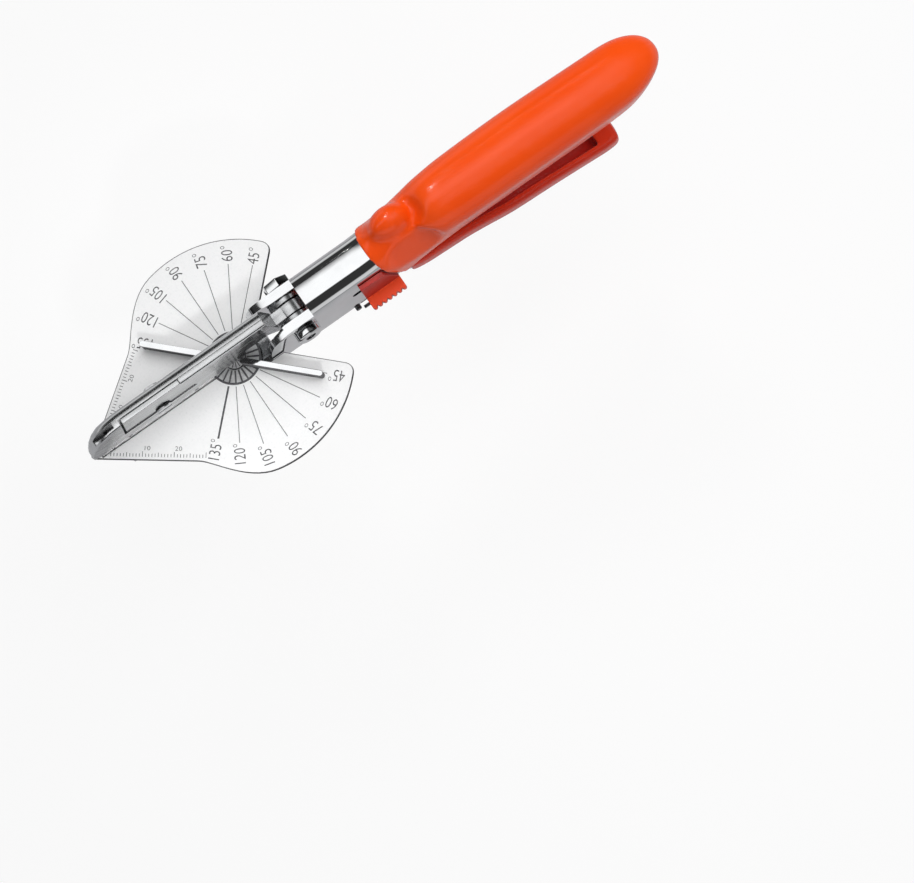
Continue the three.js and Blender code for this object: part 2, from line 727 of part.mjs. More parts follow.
const washerEnd = frameHalfWidth + washerThickness;
const sleeveOuter = boltRadius + holeGap + sleeveWall;
const leverBore = sleeveOuter + holeGap;
node(frameGroup, 'hinge_bolt', hingeBolt(), 'steel');
node(
  frameGroup, 'hinge_washer',
  ring(washerRadius, boltRadius + holeGap, frameHalfWidth, washerEnd), 'steel');
node(
  frameGroup, 'hinge_nut',
  hexNut(
    nutAcrossFlats, boltRadius + holeGap, hingeX, hingeZ,
    washerEnd, washerEnd + nutHeight, nutTurn),
  'steel');
node(
  frameGroup, 'hinge_sleeve',
  ring(sleeveOuter, boltRadius + holeGap, -frameInner + fitGap, frameInner - fitGap), 'dark');

// Blade arm: a narrow bar with a slot for the blade below and a window for the clamp plate on the right
const armStations = [
  [armFrontX, armHalfWidth - 1.2, plateTop + 1.2, plateTop + 3.2],
  [armFrontX + 0.8, armHalfWidth - 0.9, plateTop + 1.6, plateTop + 6.4],
  [armFrontX + 2.6, armHalfWidth - 0.5, plateTop + 2.6, plateTop + 11.2],
  [armFrontX + 4.8, armHalfWidth - 0.2, plateTop + 3.8, plateTop + 15],
  [armFrontX + 7.6, armHalfWidth, plateTop + 4.9, plateTop + 18],
  [armFrontX + 10.7, armHalfWidth, armBottom, armTop - 1],
  [armFrontX + 14.2, armHalfWidth, armBottom, armTop - 0.2],
  [armFrontX + 18.2, armHalfWidth, armBottom, armTop],
  [armRearX + armRearLean + 2, armHalfWidth, armBottom, armTop],
];
const tongueReach = hingeX + 13;

function armRing([x, halfWidth, bottom, top]) {
  const backBend = Math.min(armBackBend, (top - bottom) * 0.45, halfWidth * 0.9);
  const edgeBend = Math.min(armEdgeBend, (top - bottom) * 0.2);
  const section = [
    [-halfWidth, bottom],
    ...arc(-halfWidth + edgeBend, top - edgeBend, edgeBend, 180, 90, 2),
    ...arc(halfWidth - backBend, top - backBend, backBend, 90, 0, 6),
    [halfWidth, bottom],
  ];
  return section.map(([y, z]) => [x, y, z]);
}

function clampOutline(frontGap, rearGap, bottomGap, top) {
  const height = armTop - clampBottom;
  const frontLean = (clampFrontLean / height) * (top - clampBottom + bottomGap);
  const rearLean = (clampRearLean / height) * (top - clampBottom + bottomGap);
  const front = clampFrontX - clampFrontLean - frontGap;
  const rear = clampRearX + clampRearLean + rearGap;
  return outline([
    [front, clampBottom - bottomGap], [rear, clampBottom - bottomGap], [rear - rearLean, top],
    [front + frontLean, top],
  ]);
}

function bladeOutline(margin) {
  const back = bladeBack + margin;
  const edge = plateTop + bladeLift;
  return outline([
    [bladeFrontX - margin, edge - 12 * margin], [bladeRearX + margin, edge - 12 * margin],
    [bladeRearX + margin, back], [bladeFrontX + 7 - margin, back], [bladeFrontX - margin, edge + 4.5],
  ]);
}

function tongue() {
  const low = armRearBottom;
  const shape = outline([
    [armStepX + 1, low + 0.5], [armStepX + 1, armTop - 6], [armRearX - 0.5, armTop - 6],
    [armRearX + 2, low + 0.8], [hingeX, hingeZ + bossRadius - 0.4], [hingeX + 6, hingeZ + 4.2],
    [tongueReach, hingeZ - 2.4], [tongueReach, hingeZ - 7.4], [hingeX + 8, hingeZ - 7],
    [hingeX, hingeZ - bossRadius + 0.4], [hingeX - 6, hingeZ - 3.4], [armRearX - 4, low - 0.8],
  ]);
  const boss = crossRod(bossRadius - 0.2, hingeX, hingeZ, -tongueHalfWidth, tongueHalfWidth, 28);
  return joined(sidePlate(shape, -tongueHalfWidth, tongueHalfWidth), boss);
}

function leverRivetHoles(width) {
  return Object.values(leverRivets).map(
    ([x, z]) => crossRod(leverRivetRadius + holeGap, x, z, -width, width, 16));
}

function bladeArm() {
  const wide = armHalfWidth + 2;
  const bar = loft(armStations.map(armRing));
  const rear = outline([
    [armRearX, armTop + 1], [armRearX, armTop], [armRearX + armRearLean, armRearBottom],
    [armRearX + armRearLean, armBottom - 1], [armRearX + 10, armBottom - 1], [armRearX + 10, armTop + 1],
  ]);
  const step = block([armStepX, armRearX + 10], [-wide, wide], [armBottom - 1, armRearBottom]);
  const window = sidePlate(
    clampOutline(clampFrontGap, fitGap, fitGap, armTop + 1), -wide, -bladeThickness / 2);
  const slot = sidePlate(bladeOutline(fitGap), -bladeThickness / 2 - fitGap, bladeThickness / 2 + fitGap);
  const pocket = block(
    [pocketFrontX, pocketRearX], [-armHalfWidth + 1, fitGap], [armTop - pocketDepth, armTop + 1]);
  const seam = block(
    [clampRearX - 1, armRearX + 2], [-bladeThickness / 2 - seamWidth, -bladeThickness / 2],
    [armTop - seamDepth, armTop + 1]);
  const screwHole = crossRod(clampScrewRadius + holeGap, clampScrewX, clampScrewZ, -wide, wide, 16);
  const shaped = cut(bar, sidePlate(rear, -wide, wide), step);
  const withTongue = joined(shaped, tongue());
  const bore = crossRod(leverBore, hingeX, hingeZ, -wide, wide, 28);
  return cut(withTongue, window, slot, pocket, seam, screwHole, bore, ...leverRivetHoles(wide));
}

function blade() {
  const half = bladeThickness / 2;
  const body = sidePlate(bladeOutline(0), -half, half);
  const edge = plateTop + bladeLift;
  const bevel = loft([bladeFrontX - 1, bladeRearX + 1].map((x) => [
    [x, half + 1, edge - 1], [x, half + 1, edge + bladeBevel], [x, half, edge + bladeBevel],
    [x, 0.1, edge - 0.01], [x, 0.1, edge - 1],
  ]));
  const screwHole = crossRod(clampScrewRadius + holeGap, clampScrewX, clampScrewZ, -1, 1, 16);
  return cut(body, bevel, bevel.mirror([0, 1, 0]), screwHole);
}

function clampPlate() {
  const outer = -armHalfWidth + clampSunk;
  const body = sidePlate(clampOutline(0, 0, 0, armTop), outer, -bladeThickness / 2 - fitGap);
  return cut(body, crossRod(clampScrewRadius + holeGap, clampScrewX, clampScrewZ, -5, 5, 16));
}

function clampScrew() {
  const headEnd = -armHalfWidth - clampHeadHeight;
  const end = armHalfWidth + clampNutHeight;
  const profile = [
    [0, headEnd], [clampHeadRadius - 0.4, headEnd], [clampHeadRadius, -armHalfWidth - clampHeadHeight / 3],
    [clampHeadRadius, -armHalfWidth], [clampScrewRadius, -armHalfWidth], [clampScrewRadius, end], [0, end],
  ];
  const geometry = turned(profile, 20);
  geometry.translate(clampScrewX, 0, clampScrewZ);
  const slot = block(
    [clampScrewX - 5, clampScrewX + 5], [headEnd - 1, headEnd + 0.3], [clampScrewZ - 0.4, clampScrewZ + 0.4]);
  return cut(solid(geometry), slot);
}

node(leverGroup, 'blade_arm', bladeArm(), 'chrome');
node(leverGroup, 'blade', blade(), 'steel');
node(leverGroup, 'blade_clamp_plate', clampPlate(), 'dark');
node(leverGroup, 'clamp_screw', clampScrew(), 'steel');
node(
  leverGroup, 'clamp_nut',
  hexNut(
    clampNutAcrossFlats, clampScrewRadius + holeGap, clampScrewX, clampScrewZ,
    armHalfWidth, armHalfWidth + clampNutHeight, 30), 'steel');

// Lower lever: a channel that opens upwards, with two ears round the tongue at the hinge
function lowerLever() {
  const [startX, , startBottom, startTop, startBend] = leverStations[0];
  const channel = loft([startX, 34, 38, 44, 48, ...leverRings, leverRearX].map((x) => {
    const [, halfWidth, bottom, top, bend] = between(leverStations, x);
    return channelRing(x, halfWidth, bottom, top, leverSheet, bend, true);
  }));
  const inner = leverHalfWidth - earThickness;
  const link = outline([
    [hingeX, hingeZ + bossRadius - 0.1], [startX + 0.5, startTop - 0.2],
    [startX + 0.5, startBottom + startBend], [startX - 3, startBottom + startBend + 0.8],
    [hingeX, hingeZ - bossRadius + 0.1],
  ]);
  const ears = [[-leverHalfWidth, -inner], [inner, leverHalfWidth]].map(([fromY, toY]) => joined(
    crossRod(bossRadius, hingeX, hingeZ, fromY, toY, 28), sidePlate(link, fromY, toY)));
  const wide = leverHalfWidth + 1;
  const holes = [
    crossRod(leverBore, hingeX, hingeZ, -wide, wide, 28), ...leverRivetHoles(wide),
    crossRod(springPinRadius + holeGap, springPinX, springPinZ, -wide, wide),
    crossRod(catchPinRadius + holeGap, catchPinX, catchPinZ, -wide, -1, 16),
  ];
  return cut(joined(channel, ...ears), ...holes);
}

node(leverGroup, 'lower_lever', lowerLever(), 'steel');
for (const [place, [x, z]] of Object.entries(leverRivets)) {
  node(
    leverGroup, `lever_rivet_${place}`,
    crossRod(leverRivetRadius, x, z, -leverHalfWidth, leverHalfWidth), 'dark');
}
node(
  leverGroup, 'spring_pin',
  crossRod(springPinRadius, springPinX, springPinZ, -leverHalfWidth, leverHalfWidth), 'dark');
node(
  leverGroup, 'catch_pin',
  crossRod(catchPinRadius, catchPinX, catchPinZ, -catchPinReach, -1 - holeGap, 16), 'dark');

// Return spring: one wire wound round its pin, with a leg under the frame's web and one on the lever
function springPoints() {
  const onCoil = (angle, y) => new THREE.Vector3(
    springPinX + springCoilRadius * Math.cos(angle), y, springPinZ + springCoilRadius * Math.sin(angle));
  const upperAngle = THREE.MathUtils.degToRad(springUpperLegAngle);
  const lowerAngle = THREE.MathUtils.degToRad(springLowerLegAngle);
  const start = upperAngle + Math.PI / 2;
  const end = lowerAngle - Math.PI / 2 + 2 * Math.PI * (springTurns + 1);
  const turns = (end - start) / (2 * Math.PI);
  const steps = Math.round(turns * 8);
  const half = (turns * springPitch) / 2;
  const points = [];
  const first = onCoil(start, half);
  const webUnder = frameTop - frameSheet - fitGap - springWireRadius;
  const reach = (webUnder - first.z) / Math.sin(upperAngle);
  points.push(new THREE.Vector3(
    first.x + reach * Math.cos(upperAngle), half, first.z + reach * Math.sin(upperAngle)));
  for (let i = 0; i <= steps; i += 1) {
    const share = i / steps;
    points.push(onCoil(start + (end - start) * share, half - 2 * half * share));
  }
  const lastPoint = points[points.length - 1];
  points.push(new THREE.Vector3(
    lastPoint.x + springLowerLeg * Math.cos(lowerAngle),
    -half,
    lastPoint.z + springLowerLeg * Math.sin(lowerAngle)));
  return points;
}

// Least distance between the faces of neighbouring curls
function leastCurlGap(points) {
  let least = Infinity;
  const coil = points.slice(1, -1);
  for (let i = 0; i < coil.length; i += 1) {
    for (let k = i + 5; k < coil.length; k += 1) {
      least = Math.min(least, coil[i].distanceTo(coil[k]) - 2 * springWireRadius);
    }
  }
  return least;
}

const wire = springPoints();
console.log(`least gap between the spring's curls: ${leastCurlGap(wire).toFixed(2)} mm`);
node(leverGroup, 'return_spring', tubeAlong(wire, springWireRadius, 5), 'dark');

// Latch: a red slider on a steel bracket, guided by two pins in a slot of the frame's right wall
const latchFace = -frameHalfWidth - fitGap;
const latchInnerFace = -frameInner + fitGap;

function mouthX(z) {
  return mouthTopX + ((mouthTopZ - z) * (mouthBottomX - mouthTopX)) / mouthTopZ;
}

function latchSlider() {
  const backY = latchFace - sliderThickness;
  const tabTop = tabBottom + tabThickness;
  const plate = outline([
    [latchFrontX, tabBottom], [latchRearX, tabBottom], [latchRearX, tabTop + 1],
    [mouthX(latchTop) - 1, latchTop], [latchFrontX, latchTop],
  ]);
  const tab = block([latchFrontX, latchRearX], [-tabReach + tabRibRadius, backY + 0.1], [tabBottom, tabTop]);
  const pitch = (latchRearX - latchFrontX - 2 * tabRibRadius) / (tabRibs - 1);
  const ribs = [];
  for (let i = 0; i < tabRibs; i += 1) {
    const x = latchFrontX + tabRibRadius + i * pitch;
    ribs.push(uprightRod(tabRibRadius, x, -tabReach + tabRibRadius, tabBottom, tabTop, 12));
  }
  const pinHoles = Object.values(latchPinXs).map((x) => crossRod(
    latchPinRadius + holeGap, x, latchPinZ,
    latchFace - sliderThickness + 0.3, latchFace + 1, 12));
  const rivetHole = uprightRod(
    latchRivetRadius + holeGap, latchRivetX, latchRivetY, tabBottom - 1, tabTop - 0.4, 16);
  return cut(joined(sidePlate(plate, backY, latchFace), tab, ...ribs), ...pinHoles, rivetHole);
}

const latchRivetY = -tabReach + 0.6 * tabRoom;
const fingerTop = catchPinZ - catchPinRadius - fitGap;
const flangeTop = tabBottom - fitGap;

function latchBracket() {
  const bodyFront = catchPinX + catchPinRadius + latchTravel + 1;
  const bodyRear = latchRearX - 0.8;
  const tipX = catchPinX + catchPinRadius + 0.6;
  const side = outline([
    [tipX, fingerTop - fingerDepth], [bodyRear, fingerTop - fingerDepth], [bodyRear, flangeTop],
    [bodyFront, flangeTop], [bodyFront, fingerTop], [tipX, fingerTop],
  ]);
  const flange = block(
    [bodyFront, bodyRear], [-tabReach + 0.2 * tabRoom, latchFace], [flangeTop - bracketThickness, flangeTop]);
  const body = joined(sidePlate(side, latchFace - bracketThickness, latchFace), flange);
  return cut(body, uprightRod(latchRivetRadius + holeGap, latchRivetX, latchRivetY, -10, 10, 16));
}

function latchRivet() {
  const headTop = flangeTop - bracketThickness;
  return joined(
    uprightRod(latchRivetRadius, latchRivetX, latchRivetY, headTop - 0.1, tabBottom + tabThickness - 0.7, 16),
    uprightRod(latchRivetHeadRadius, latchRivetX, latchRivetY, headTop - 0.7, headTop, 16));
}

function latchKeeper() {
  const body = block(
    [latchPinXs.front - 2, latchPinXs.rear + 2], [latchInnerFace, latchInnerFace + keeperThickness],
    [latchPinZ - keeperHalfHeight, latchPinZ + keeperHalfHeight]);
  const holes = Object.values(latchPinXs).map(
    (x) => crossRod(latchPinRadius + holeGap, x, latchPinZ, -10, 0, 12));
  return cut(body, ...holes);
}

node(latchGroup, 'latch_slider', latchSlider(), 'plastic');
node(latchGroup, 'latch_bracket', latchBracket(), 'dark');
node(latchGroup, 'latch_rivet', latchRivet(), 'steel');
node(latchGroup, 'latch_keeper', latchKeeper(), 'steel');
for (const [place, x] of Object.entries(latchPinXs)) {
  node(
    latchGroup, `latch_pin_${place}`,
    crossRod(
      latchPinRadius, x, latchPinZ,
      latchFace - sliderThickness + 0.6, latchInnerFace + keeperThickness, 12),
    'steel');
}

// Upper grip: a thick skin inside and outside the frame's sheet, with a domed tail and a thumb knob
function gripRingAt(x) {
  const [, halfWidth, bottom, top] = between(frameStations, x);
  const [, swell] = between(gripSwell, x);
  const along = Math.max(0, (x - gripDomeX) / (gripRearX - gripDomeX));
  const shrink = (1 - along ** 2.2) ** (1 / 2.2);
  const low = bottom - gripLip;
  const high = top + gripSkin;
  const middle = (low + high) / 2;
  const halfHeight = ((high - low) / 2) * shrink;
  const width = (halfWidth + gripSkin + swell) * shrink;
  const shift = gripTailShift * along;
  const topBend = Math.min(width, halfHeight) * 0.86;
  const taper = 1 - (halfWidth + gripBottomSkin) / (halfWidth + gripSkin + swell);
  const section = barRing(
    x, 0, width, middle - halfHeight, middle + halfHeight, topBend, Math.min(2, topBend));
  return section.map(([px, y, z]) => {
    const narrowing = 1 - taper * Math.max(0, (middle - z) / halfHeight);
    return [px, y * narrowing + shift, z];
  });
}

function upperGrip() {
  const reach = gripRearX - gripDomeX;
  const dome = [0.25, 0.45, 0.62, 0.76, 0.87, 0.95, 0.99].map((share) => gripDomeX + reach * share);
  const skinRings = frameRings.filter((x) => x >= 48 && x < gripDomeX);
  const skin = loft([...skinRings, gripDomeX, ...dome].map(gripRingAt));
  const knobZ = between(frameStations, knobX)[3] + gripSkin - knobSunk;
  const ball = new THREE.SphereGeometry(1, 20, 12);
  ball.scale(knobHalfLength, knobHalfWidth, knobHalfHeight);
  ball.translate(knobX, knobY, knobZ);
  const inside = [...frameRings.filter((x) => x >= 48), frameRearX + fitGap];
  const sheetSlot = loft([40, ...inside].map((x) => {
    const [, halfWidth, bottom, top, bend] = between(frameStations, x);
    return channelRing(
      x, halfWidth + fitGap, bottom - fitGap, top + fitGap, frameSheet + 2 * fitGap, bend + fitGap);
  }));
  const front = inside.filter((x) => x < innerSkinFrontX);
  const rear = inside.filter((x) => x > innerSkinFrontX);
  const openFront = loft([40, ...front, innerSkinFrontX].map((x) => hollowRing(x, 0.1)));
  const skinned = loft([innerSkinFrontX, ...rear].map((x) => hollowRing(x, -gripInnerSkin - fitGap)));
  const mouth = outline([
    [mouthTopX - wayOut, -wayOut], [mouthX(-wayOut), -wayOut],
    [mouthX(2 * wayOut), 2 * wayOut], [mouthTopX - wayOut, 2 * wayOut],
  ]);
  return cut(joined(skin, solid(ball)), sheetSlot, openFront, skinned, sidePlate(mouth, -wayOut, wayOut));
}

// Section of the space between the frame's walls, wider than it by a margin
function hollowRing(x, margin) {
  const [, halfWidth, , top] = between(frameStations, x);
  const ceiling = top - frameSheet + Math.min(margin, 0);
  return barRing(x, 0, halfWidth - frameSheet + margin, -wayOut, ceiling, 1, 0.2);
}

// Lower grip: the same skin round the lever, open at the top and closed at the tail
function lowerGripRing(x) {
  const [, halfWidth, bottom, top, bend] = between(leverStations, x);
  const along = Math.max(0, (x - leverRearX) / (lowerGripRearX - leverRearX));
  const shrink = 0.35 + 0.65 * (1 - along ** 2.2) ** (1 / 2.2);
  const low = bottom - lowerSkin;
  const high = top + lowerLip;
  const middle = (low + high) / 2 - 0.4 * along;
  const halfHeight = ((high - low) / 2) * shrink;
  const width = (halfWidth + lowerSkin) * shrink;
  const section = barRing(
    x, 0, width, middle - halfHeight, middle + halfHeight, (bend + lowerSkin) * shrink, 1);
  return section.map(([px, y, z]) => [px, y, 2 * middle - z]);
}

function lowerGrip() {
  const span = lowerGripRearX - leverRearX;
  const tail = [0.3, 0.55, 0.75, 0.9, 1].map((share) => leverRearX + span * share);
  const skinRings = leverRings.filter((x) => x > lowerGripFrontX);
  const skin = loft([lowerGripFrontX, ...skinRings, leverRearX, ...tail].map(lowerGripRing));
  const sheetSlot = loft([...leverRings, leverRearX + fitGap].map((x) => {
    const [, halfWidth, bottom, top, bend] = between(leverStations, x);
    return channelRing(
      x, halfWidth + fitGap, bottom - fitGap, top + fitGap, leverSheet + 2 * fitGap, bend + fitGap, true);
  }));
  const hollow = loft([...leverRings, lowerHollowRearX].map((x) => {
    const [, halfWidth, bottom, , bend] = between(leverStations, x);
    const half = halfWidth - leverSheet - gripInnerSkin - fitGap;
    const floor = bottom + leverSheet + gripInnerSkin + fitGap;
    return barRing(x, 0, half, floor, wayOut, 1, Math.max(bend - leverSheet - fitGap, 0.5));
  }));
  return cut(skin, sheetSlot, hollow);
}

node(frameGroup, 'upper_grip', upperGrip(), 'vinyl');
node(leverGroup, 'lower_grip', lowerGrip(), 'vinyl');

export default part;
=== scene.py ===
import json
import math
import bpy
import bmesh
from mathutils import Matrix, Vector


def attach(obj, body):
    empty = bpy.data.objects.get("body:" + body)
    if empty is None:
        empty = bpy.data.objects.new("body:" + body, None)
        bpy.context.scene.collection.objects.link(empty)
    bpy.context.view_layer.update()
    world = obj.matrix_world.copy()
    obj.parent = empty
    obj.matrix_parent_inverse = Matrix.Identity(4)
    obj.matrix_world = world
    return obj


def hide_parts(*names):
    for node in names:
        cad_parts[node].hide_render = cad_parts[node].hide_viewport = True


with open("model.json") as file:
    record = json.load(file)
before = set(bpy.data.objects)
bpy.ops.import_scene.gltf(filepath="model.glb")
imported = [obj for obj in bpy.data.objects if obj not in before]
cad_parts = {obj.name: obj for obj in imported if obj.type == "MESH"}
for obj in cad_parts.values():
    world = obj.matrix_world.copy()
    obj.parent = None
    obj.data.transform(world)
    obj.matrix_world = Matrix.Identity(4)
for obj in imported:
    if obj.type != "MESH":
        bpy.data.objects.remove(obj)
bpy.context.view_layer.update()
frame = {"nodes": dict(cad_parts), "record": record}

mm = 0.001
near = 0.01  # mm: places closer than this count as one
weld = 0.002  # mm: vertices closer than this are merged
bodyOfNode = {
    node: body
    for body, names in frame["record"]["behaviour"]["bodies"].items()
    for node in names
}
print("frame loaded:", len(bodyOfNode), "nodes")


def clearSelection():
    if bpy.context.object and bpy.context.object.mode != "OBJECT":
        bpy.ops.object.mode_set(mode="OBJECT")
    bpy.ops.object.select_all(action="DESELECT")


def pickUp(piece):
    clearSelection()
    piece.select_set(True)
    bpy.context.view_layer.objects.active = piece


def fixPlace(piece):
    pickUp(piece)
    bpy.ops.object.transform_apply(location=True, rotation=True, scale=True)


def useModifier(piece, kind, **settings):
    pickUp(piece)
    modifier = piece.modifiers.new(kind.lower(), kind)
    for setting, value in settings.items():
        setattr(modifier, setting, value)
    bpy.ops.object.modifier_apply(modifier=modifier.name)


def cutWith(piece, tool):
    useModifier(piece, "BOOLEAN", object=tool, operation="DIFFERENCE", solver="EXACT")
    bpy.data.objects.remove(tool, do_unlink=True)


def joinPieces(pieces, name):
    clearSelection()
    for piece in pieces:
        piece.select_set(True)
    bpy.context.view_layer.objects.active = pieces[0]
    bpy.ops.object.join()
    pieces[0].name = name
    return pieces[0]


def selectWhere(piece, test):
    # edit mode, vertices: only those whose place passes the test
    bpy.ops.mesh.select_mode(type="VERT")
    bpy.ops.mesh.select_all(action="DESELECT")
    mesh = bmesh.from_edit_mesh(piece.data)
    for vert in mesh.verts:
        vert.select = test(vert.co)
    mesh.select_flush_mode()
    bmesh.update_edit_mesh(piece.data)


def between(stations, x):
    # smooth values along the tool, level at each crest; the first value is x
    if x <= stations[0][0]:
        return stations[0]
    if x >= stations[-1][0]:
        return stations[-1]

    def slope(a, b, k):
        return (stations[b][k] - stations[a][k]) / (stations[b][0] - stations[a][0])

    def slopeAt(i, k):
        if i == 0:
            return slope(0, 1, k)
        if i == len(stations) - 1:
            return slope(i - 1, i, k)
        behind, ahead = slope(i - 1, i, k), slope(i, i + 1, k)
        return 2 * behind * ahead / (behind + ahead) if behind * ahead > 0 else 0

    after = next(i for i, station in enumerate(stations) if station[0] >= x)
    span = stations[after][0] - stations[after - 1][0]
    t = (x - stations[after - 1][0]) / span
    values = []
    for k, value in enumerate(stations[after - 1]):
        leaving, arriving = slopeAt(after - 1, k) * span, slopeAt(after, k) * span
        rise = stations[after][k] - value
        values.append(
            value + t * leaving + t * t * (3 * rise - 2 * leaving - arriving)
            + t ** 3 * (leaving + arriving - 2 * rise))
    return values


def drawBar(name, rings, topBend, bottomBend, steps=8):
    # rings: x, centre y, half width, half width at the bottom, low, high, all in mm
    x, y, half, _, low, high = rings[0]
    clearSelection()
    bpy.ops.mesh.primitive_plane_add(
        size=mm, location=(x * mm, y * mm, (low + high) / 2 * mm), rotation=(0, math.pi / 2, 0))
    bar = bpy.context.object
    bar.name = name
    fixPlace(bar)
    bpy.ops.object.mode_set(mode="EDIT")
    bpy.ops.mesh.select_all(action="SELECT")
    middle = Vector((x, y, (low + high) / 2)) * mm
    bpy.ops.transform.resize(value=(1, 2 * half, high - low), center_override=middle)
    for bend, above in ((topBend, True), (bottomBend, False)):
        selectWhere(bar, lambda co: (co.z > middle.z) == above)
        bpy.ops.mesh.bevel(
            offset=bend * mm, offset_type="OFFSET", segments=steps, profile=0.5, affect="VERTICES")
    bpy.ops.mesh.select_all(action="SELECT")
    for ring in rings[1:]:
        nextX, nextY, nextHalf, _, nextLow, nextHigh = ring
        step = Vector((nextX - x, nextY - y, (nextLow + nextHigh - low - high) / 2)) * mm
        bpy.ops.mesh.extrude_region_move(TRANSFORM_OT_translate={"value": step})
        bpy.ops.transform.resize(
            value=(1, nextHalf / half, (nextHigh - nextLow) / (high - low)),
            center_override=Vector((nextX, nextY, (nextLow + nextHigh) / 2)) * mm)
        x, y, half, low, high = nextX, nextY, nextHalf, nextLow, nextHigh
    firstHeight = rings[0][5] - rings[0][4]
    for x, y, half, lowHalf, low, high in rings:
        if abs(lowHalf - half) < near:
            continue
        edge = low + bottomBend * (high - low) / firstHeight + 2 * near
        selectWhere(bar, lambda co: abs(co.x - x * mm) < near * mm and co.z < edge * mm)
        bpy.ops.transform.resize(
            value=(1, lowHalf / half, 1), center_override=Vector((x, y, low)) * mm)
    bpy.ops.mesh.select_all(action="SELECT")
    bpy.ops.mesh.normals_make_consistent(inside=False)
    bpy.ops.object.mode_set(mode="OBJECT")
    return bar


# Finishes: a base colour and a roughness that vary with a grain, and fine reliefs
# a relief is a grain, its depth in mm and its strength
grainSpan = (0.3, 0.7)  # most of a grain lies between these


def startFinish(name, metal, colour, roughness):
    finish = bpy.data.materials.new(name)
    finish.use_nodes = True
    shader = finish.node_tree.nodes["Principled BSDF"]
    shader.inputs["Metallic"].default_value = metal
    shader.inputs["Base Color"].default_value = (*colour, 1)
    shader.inputs["Roughness"].default_value = roughness
    return finish


def addGrain(finish, scale, stretch=(1, 1, 1), detail=4, rough=0.55):
    nodes, links = finish.node_tree.nodes, finish.node_tree.links
    place = nodes.get("Texture Coordinate") or nodes.new("ShaderNodeTexCoord")
    mapping = nodes.new("ShaderNodeMapping")
    mapping.inputs["Scale"].default_value = stretch
    grain = nodes.new("ShaderNodeTexNoise")
    grain.inputs["Scale"].default_value = scale
    grain.inputs["Detail"].default_value = detail
    grain.inputs["Roughness"].default_value = rough
    links.new(place.outputs["Object"], mapping.inputs["Vector"])
    links.new(mapping.outputs["Vector"], grain.inputs["Vector"])
    return grain.outputs["Fac"]


def varyColour(finish, grain, stops):
    nodes, links = finish.node_tree.nodes, finish.node_tree.links
    ramp = nodes.new("ShaderNodeValToRGB")
    while len(ramp.color_ramp.elements) < len(stops):
        ramp.color_ramp.elements.new(0.5)
    for element, (place, colour) in zip(ramp.color_ramp.elements, stops):
        element.position = place
        element.color = (*colour, 1)
    links.new(grain, ramp.inputs["Fac"])
    links.new(ramp.outputs["Color"], nodes["Principled BSDF"].inputs["Base Color"])


def spreadValues(nodes, fromMin, fromMax, toMin, toMax):
    spread = nodes.new("ShaderNodeMapRange")
    spread.inputs["From Min"].default_value = fromMin
    spread.inputs["From Max"].default_value = fromMax
    spread.inputs["To Min"].default_value = toMin
    spread.inputs["To Max"].default_value = toMax
    return spread


def varyGloss(finish, grain, low, high):
    nodes, links = finish.node_tree.nodes, finish.node_tree.links
    spread = spreadValues(nodes, *grainSpan, low, high)
    links.new(grain, spread.inputs["Value"])
    links.new(spread.outputs["Result"], nodes["Principled BSDF"].inputs["Roughness"])


def addRelief(finish, grain, depth, strength):
    nodes, links = finish.node_tree.nodes, finish.node_tree.links
    bump = nodes.new("ShaderNodeBump")
    bump.inputs["Strength"].default_value = strength
    bump.inputs["Distance"].default_value = depth * mm
    shader = nodes["Principled BSDF"]
    if shader.inputs["Normal"].links:
        links.new(shader.inputs["Normal"].links[0].from_socket, bump.inputs["Normal"])
    links.new(grain, bump.inputs["Height"])
    links.new(bump.outputs["Normal"], shader.inputs["Normal"])


def makeFinish(v):
    finish = startFinish(v["name"], v["metal"], v["colour"], v["roughness"])
    tint = addGrain(finish, **v["tint"])
    varyColour(finish, tint, v["stops"])
    gloss = addGrain(finish, **v["gloss"]) if "gloss" in v else tint
    varyGloss(finish, gloss, *v["glossRange"])
    for grain, depth, strength in v.get("reliefs", []):
        addRelief(finish, addGrain(finish, **grain), depth, strength)
    for socket, value in v.get("sockets", {}).items():
        finish.node_tree.nodes["Principled BSDF"].inputs[socket].default_value = value
    return finish


def vinylValues(name, deep, bright, sheen):
    return {
        "name": name, "metal": 0, "colour": bright, "roughness": 0.18,
        "tint": {"scale": 45, "detail": 3}, "stops": [(0.25, deep), (0.75, bright)],
        "gloss": {"scale": 180, "detail": 5}, "glossRange": (0.18, 0.26),
        "reliefs": [
            ({"scale": 90, "detail": 1}, 0.05, 0.5), ({"scale": 1600, "detail": 3}, 0.003, 0.5)],
        "sockets": {
            "Specular IOR Level": 0.5, "Sheen Weight": sheen, "Sheen Roughness": 0.3,
            "Sheen Tint": (1, 0.8, 0.85, 1)},
    }


def plasticValues(name, deep, bright):
    return {
        "name": name, "metal": 0, "colour": bright, "roughness": 0.36,
        "tint": {"scale": 130}, "stops": [(0.3, deep), (0.7, bright)],
        "gloss": {"scale": 400}, "glossRange": (0.3, 0.44),
        "reliefs": [({"scale": 1400}, 0.012, 0.6)],
    }


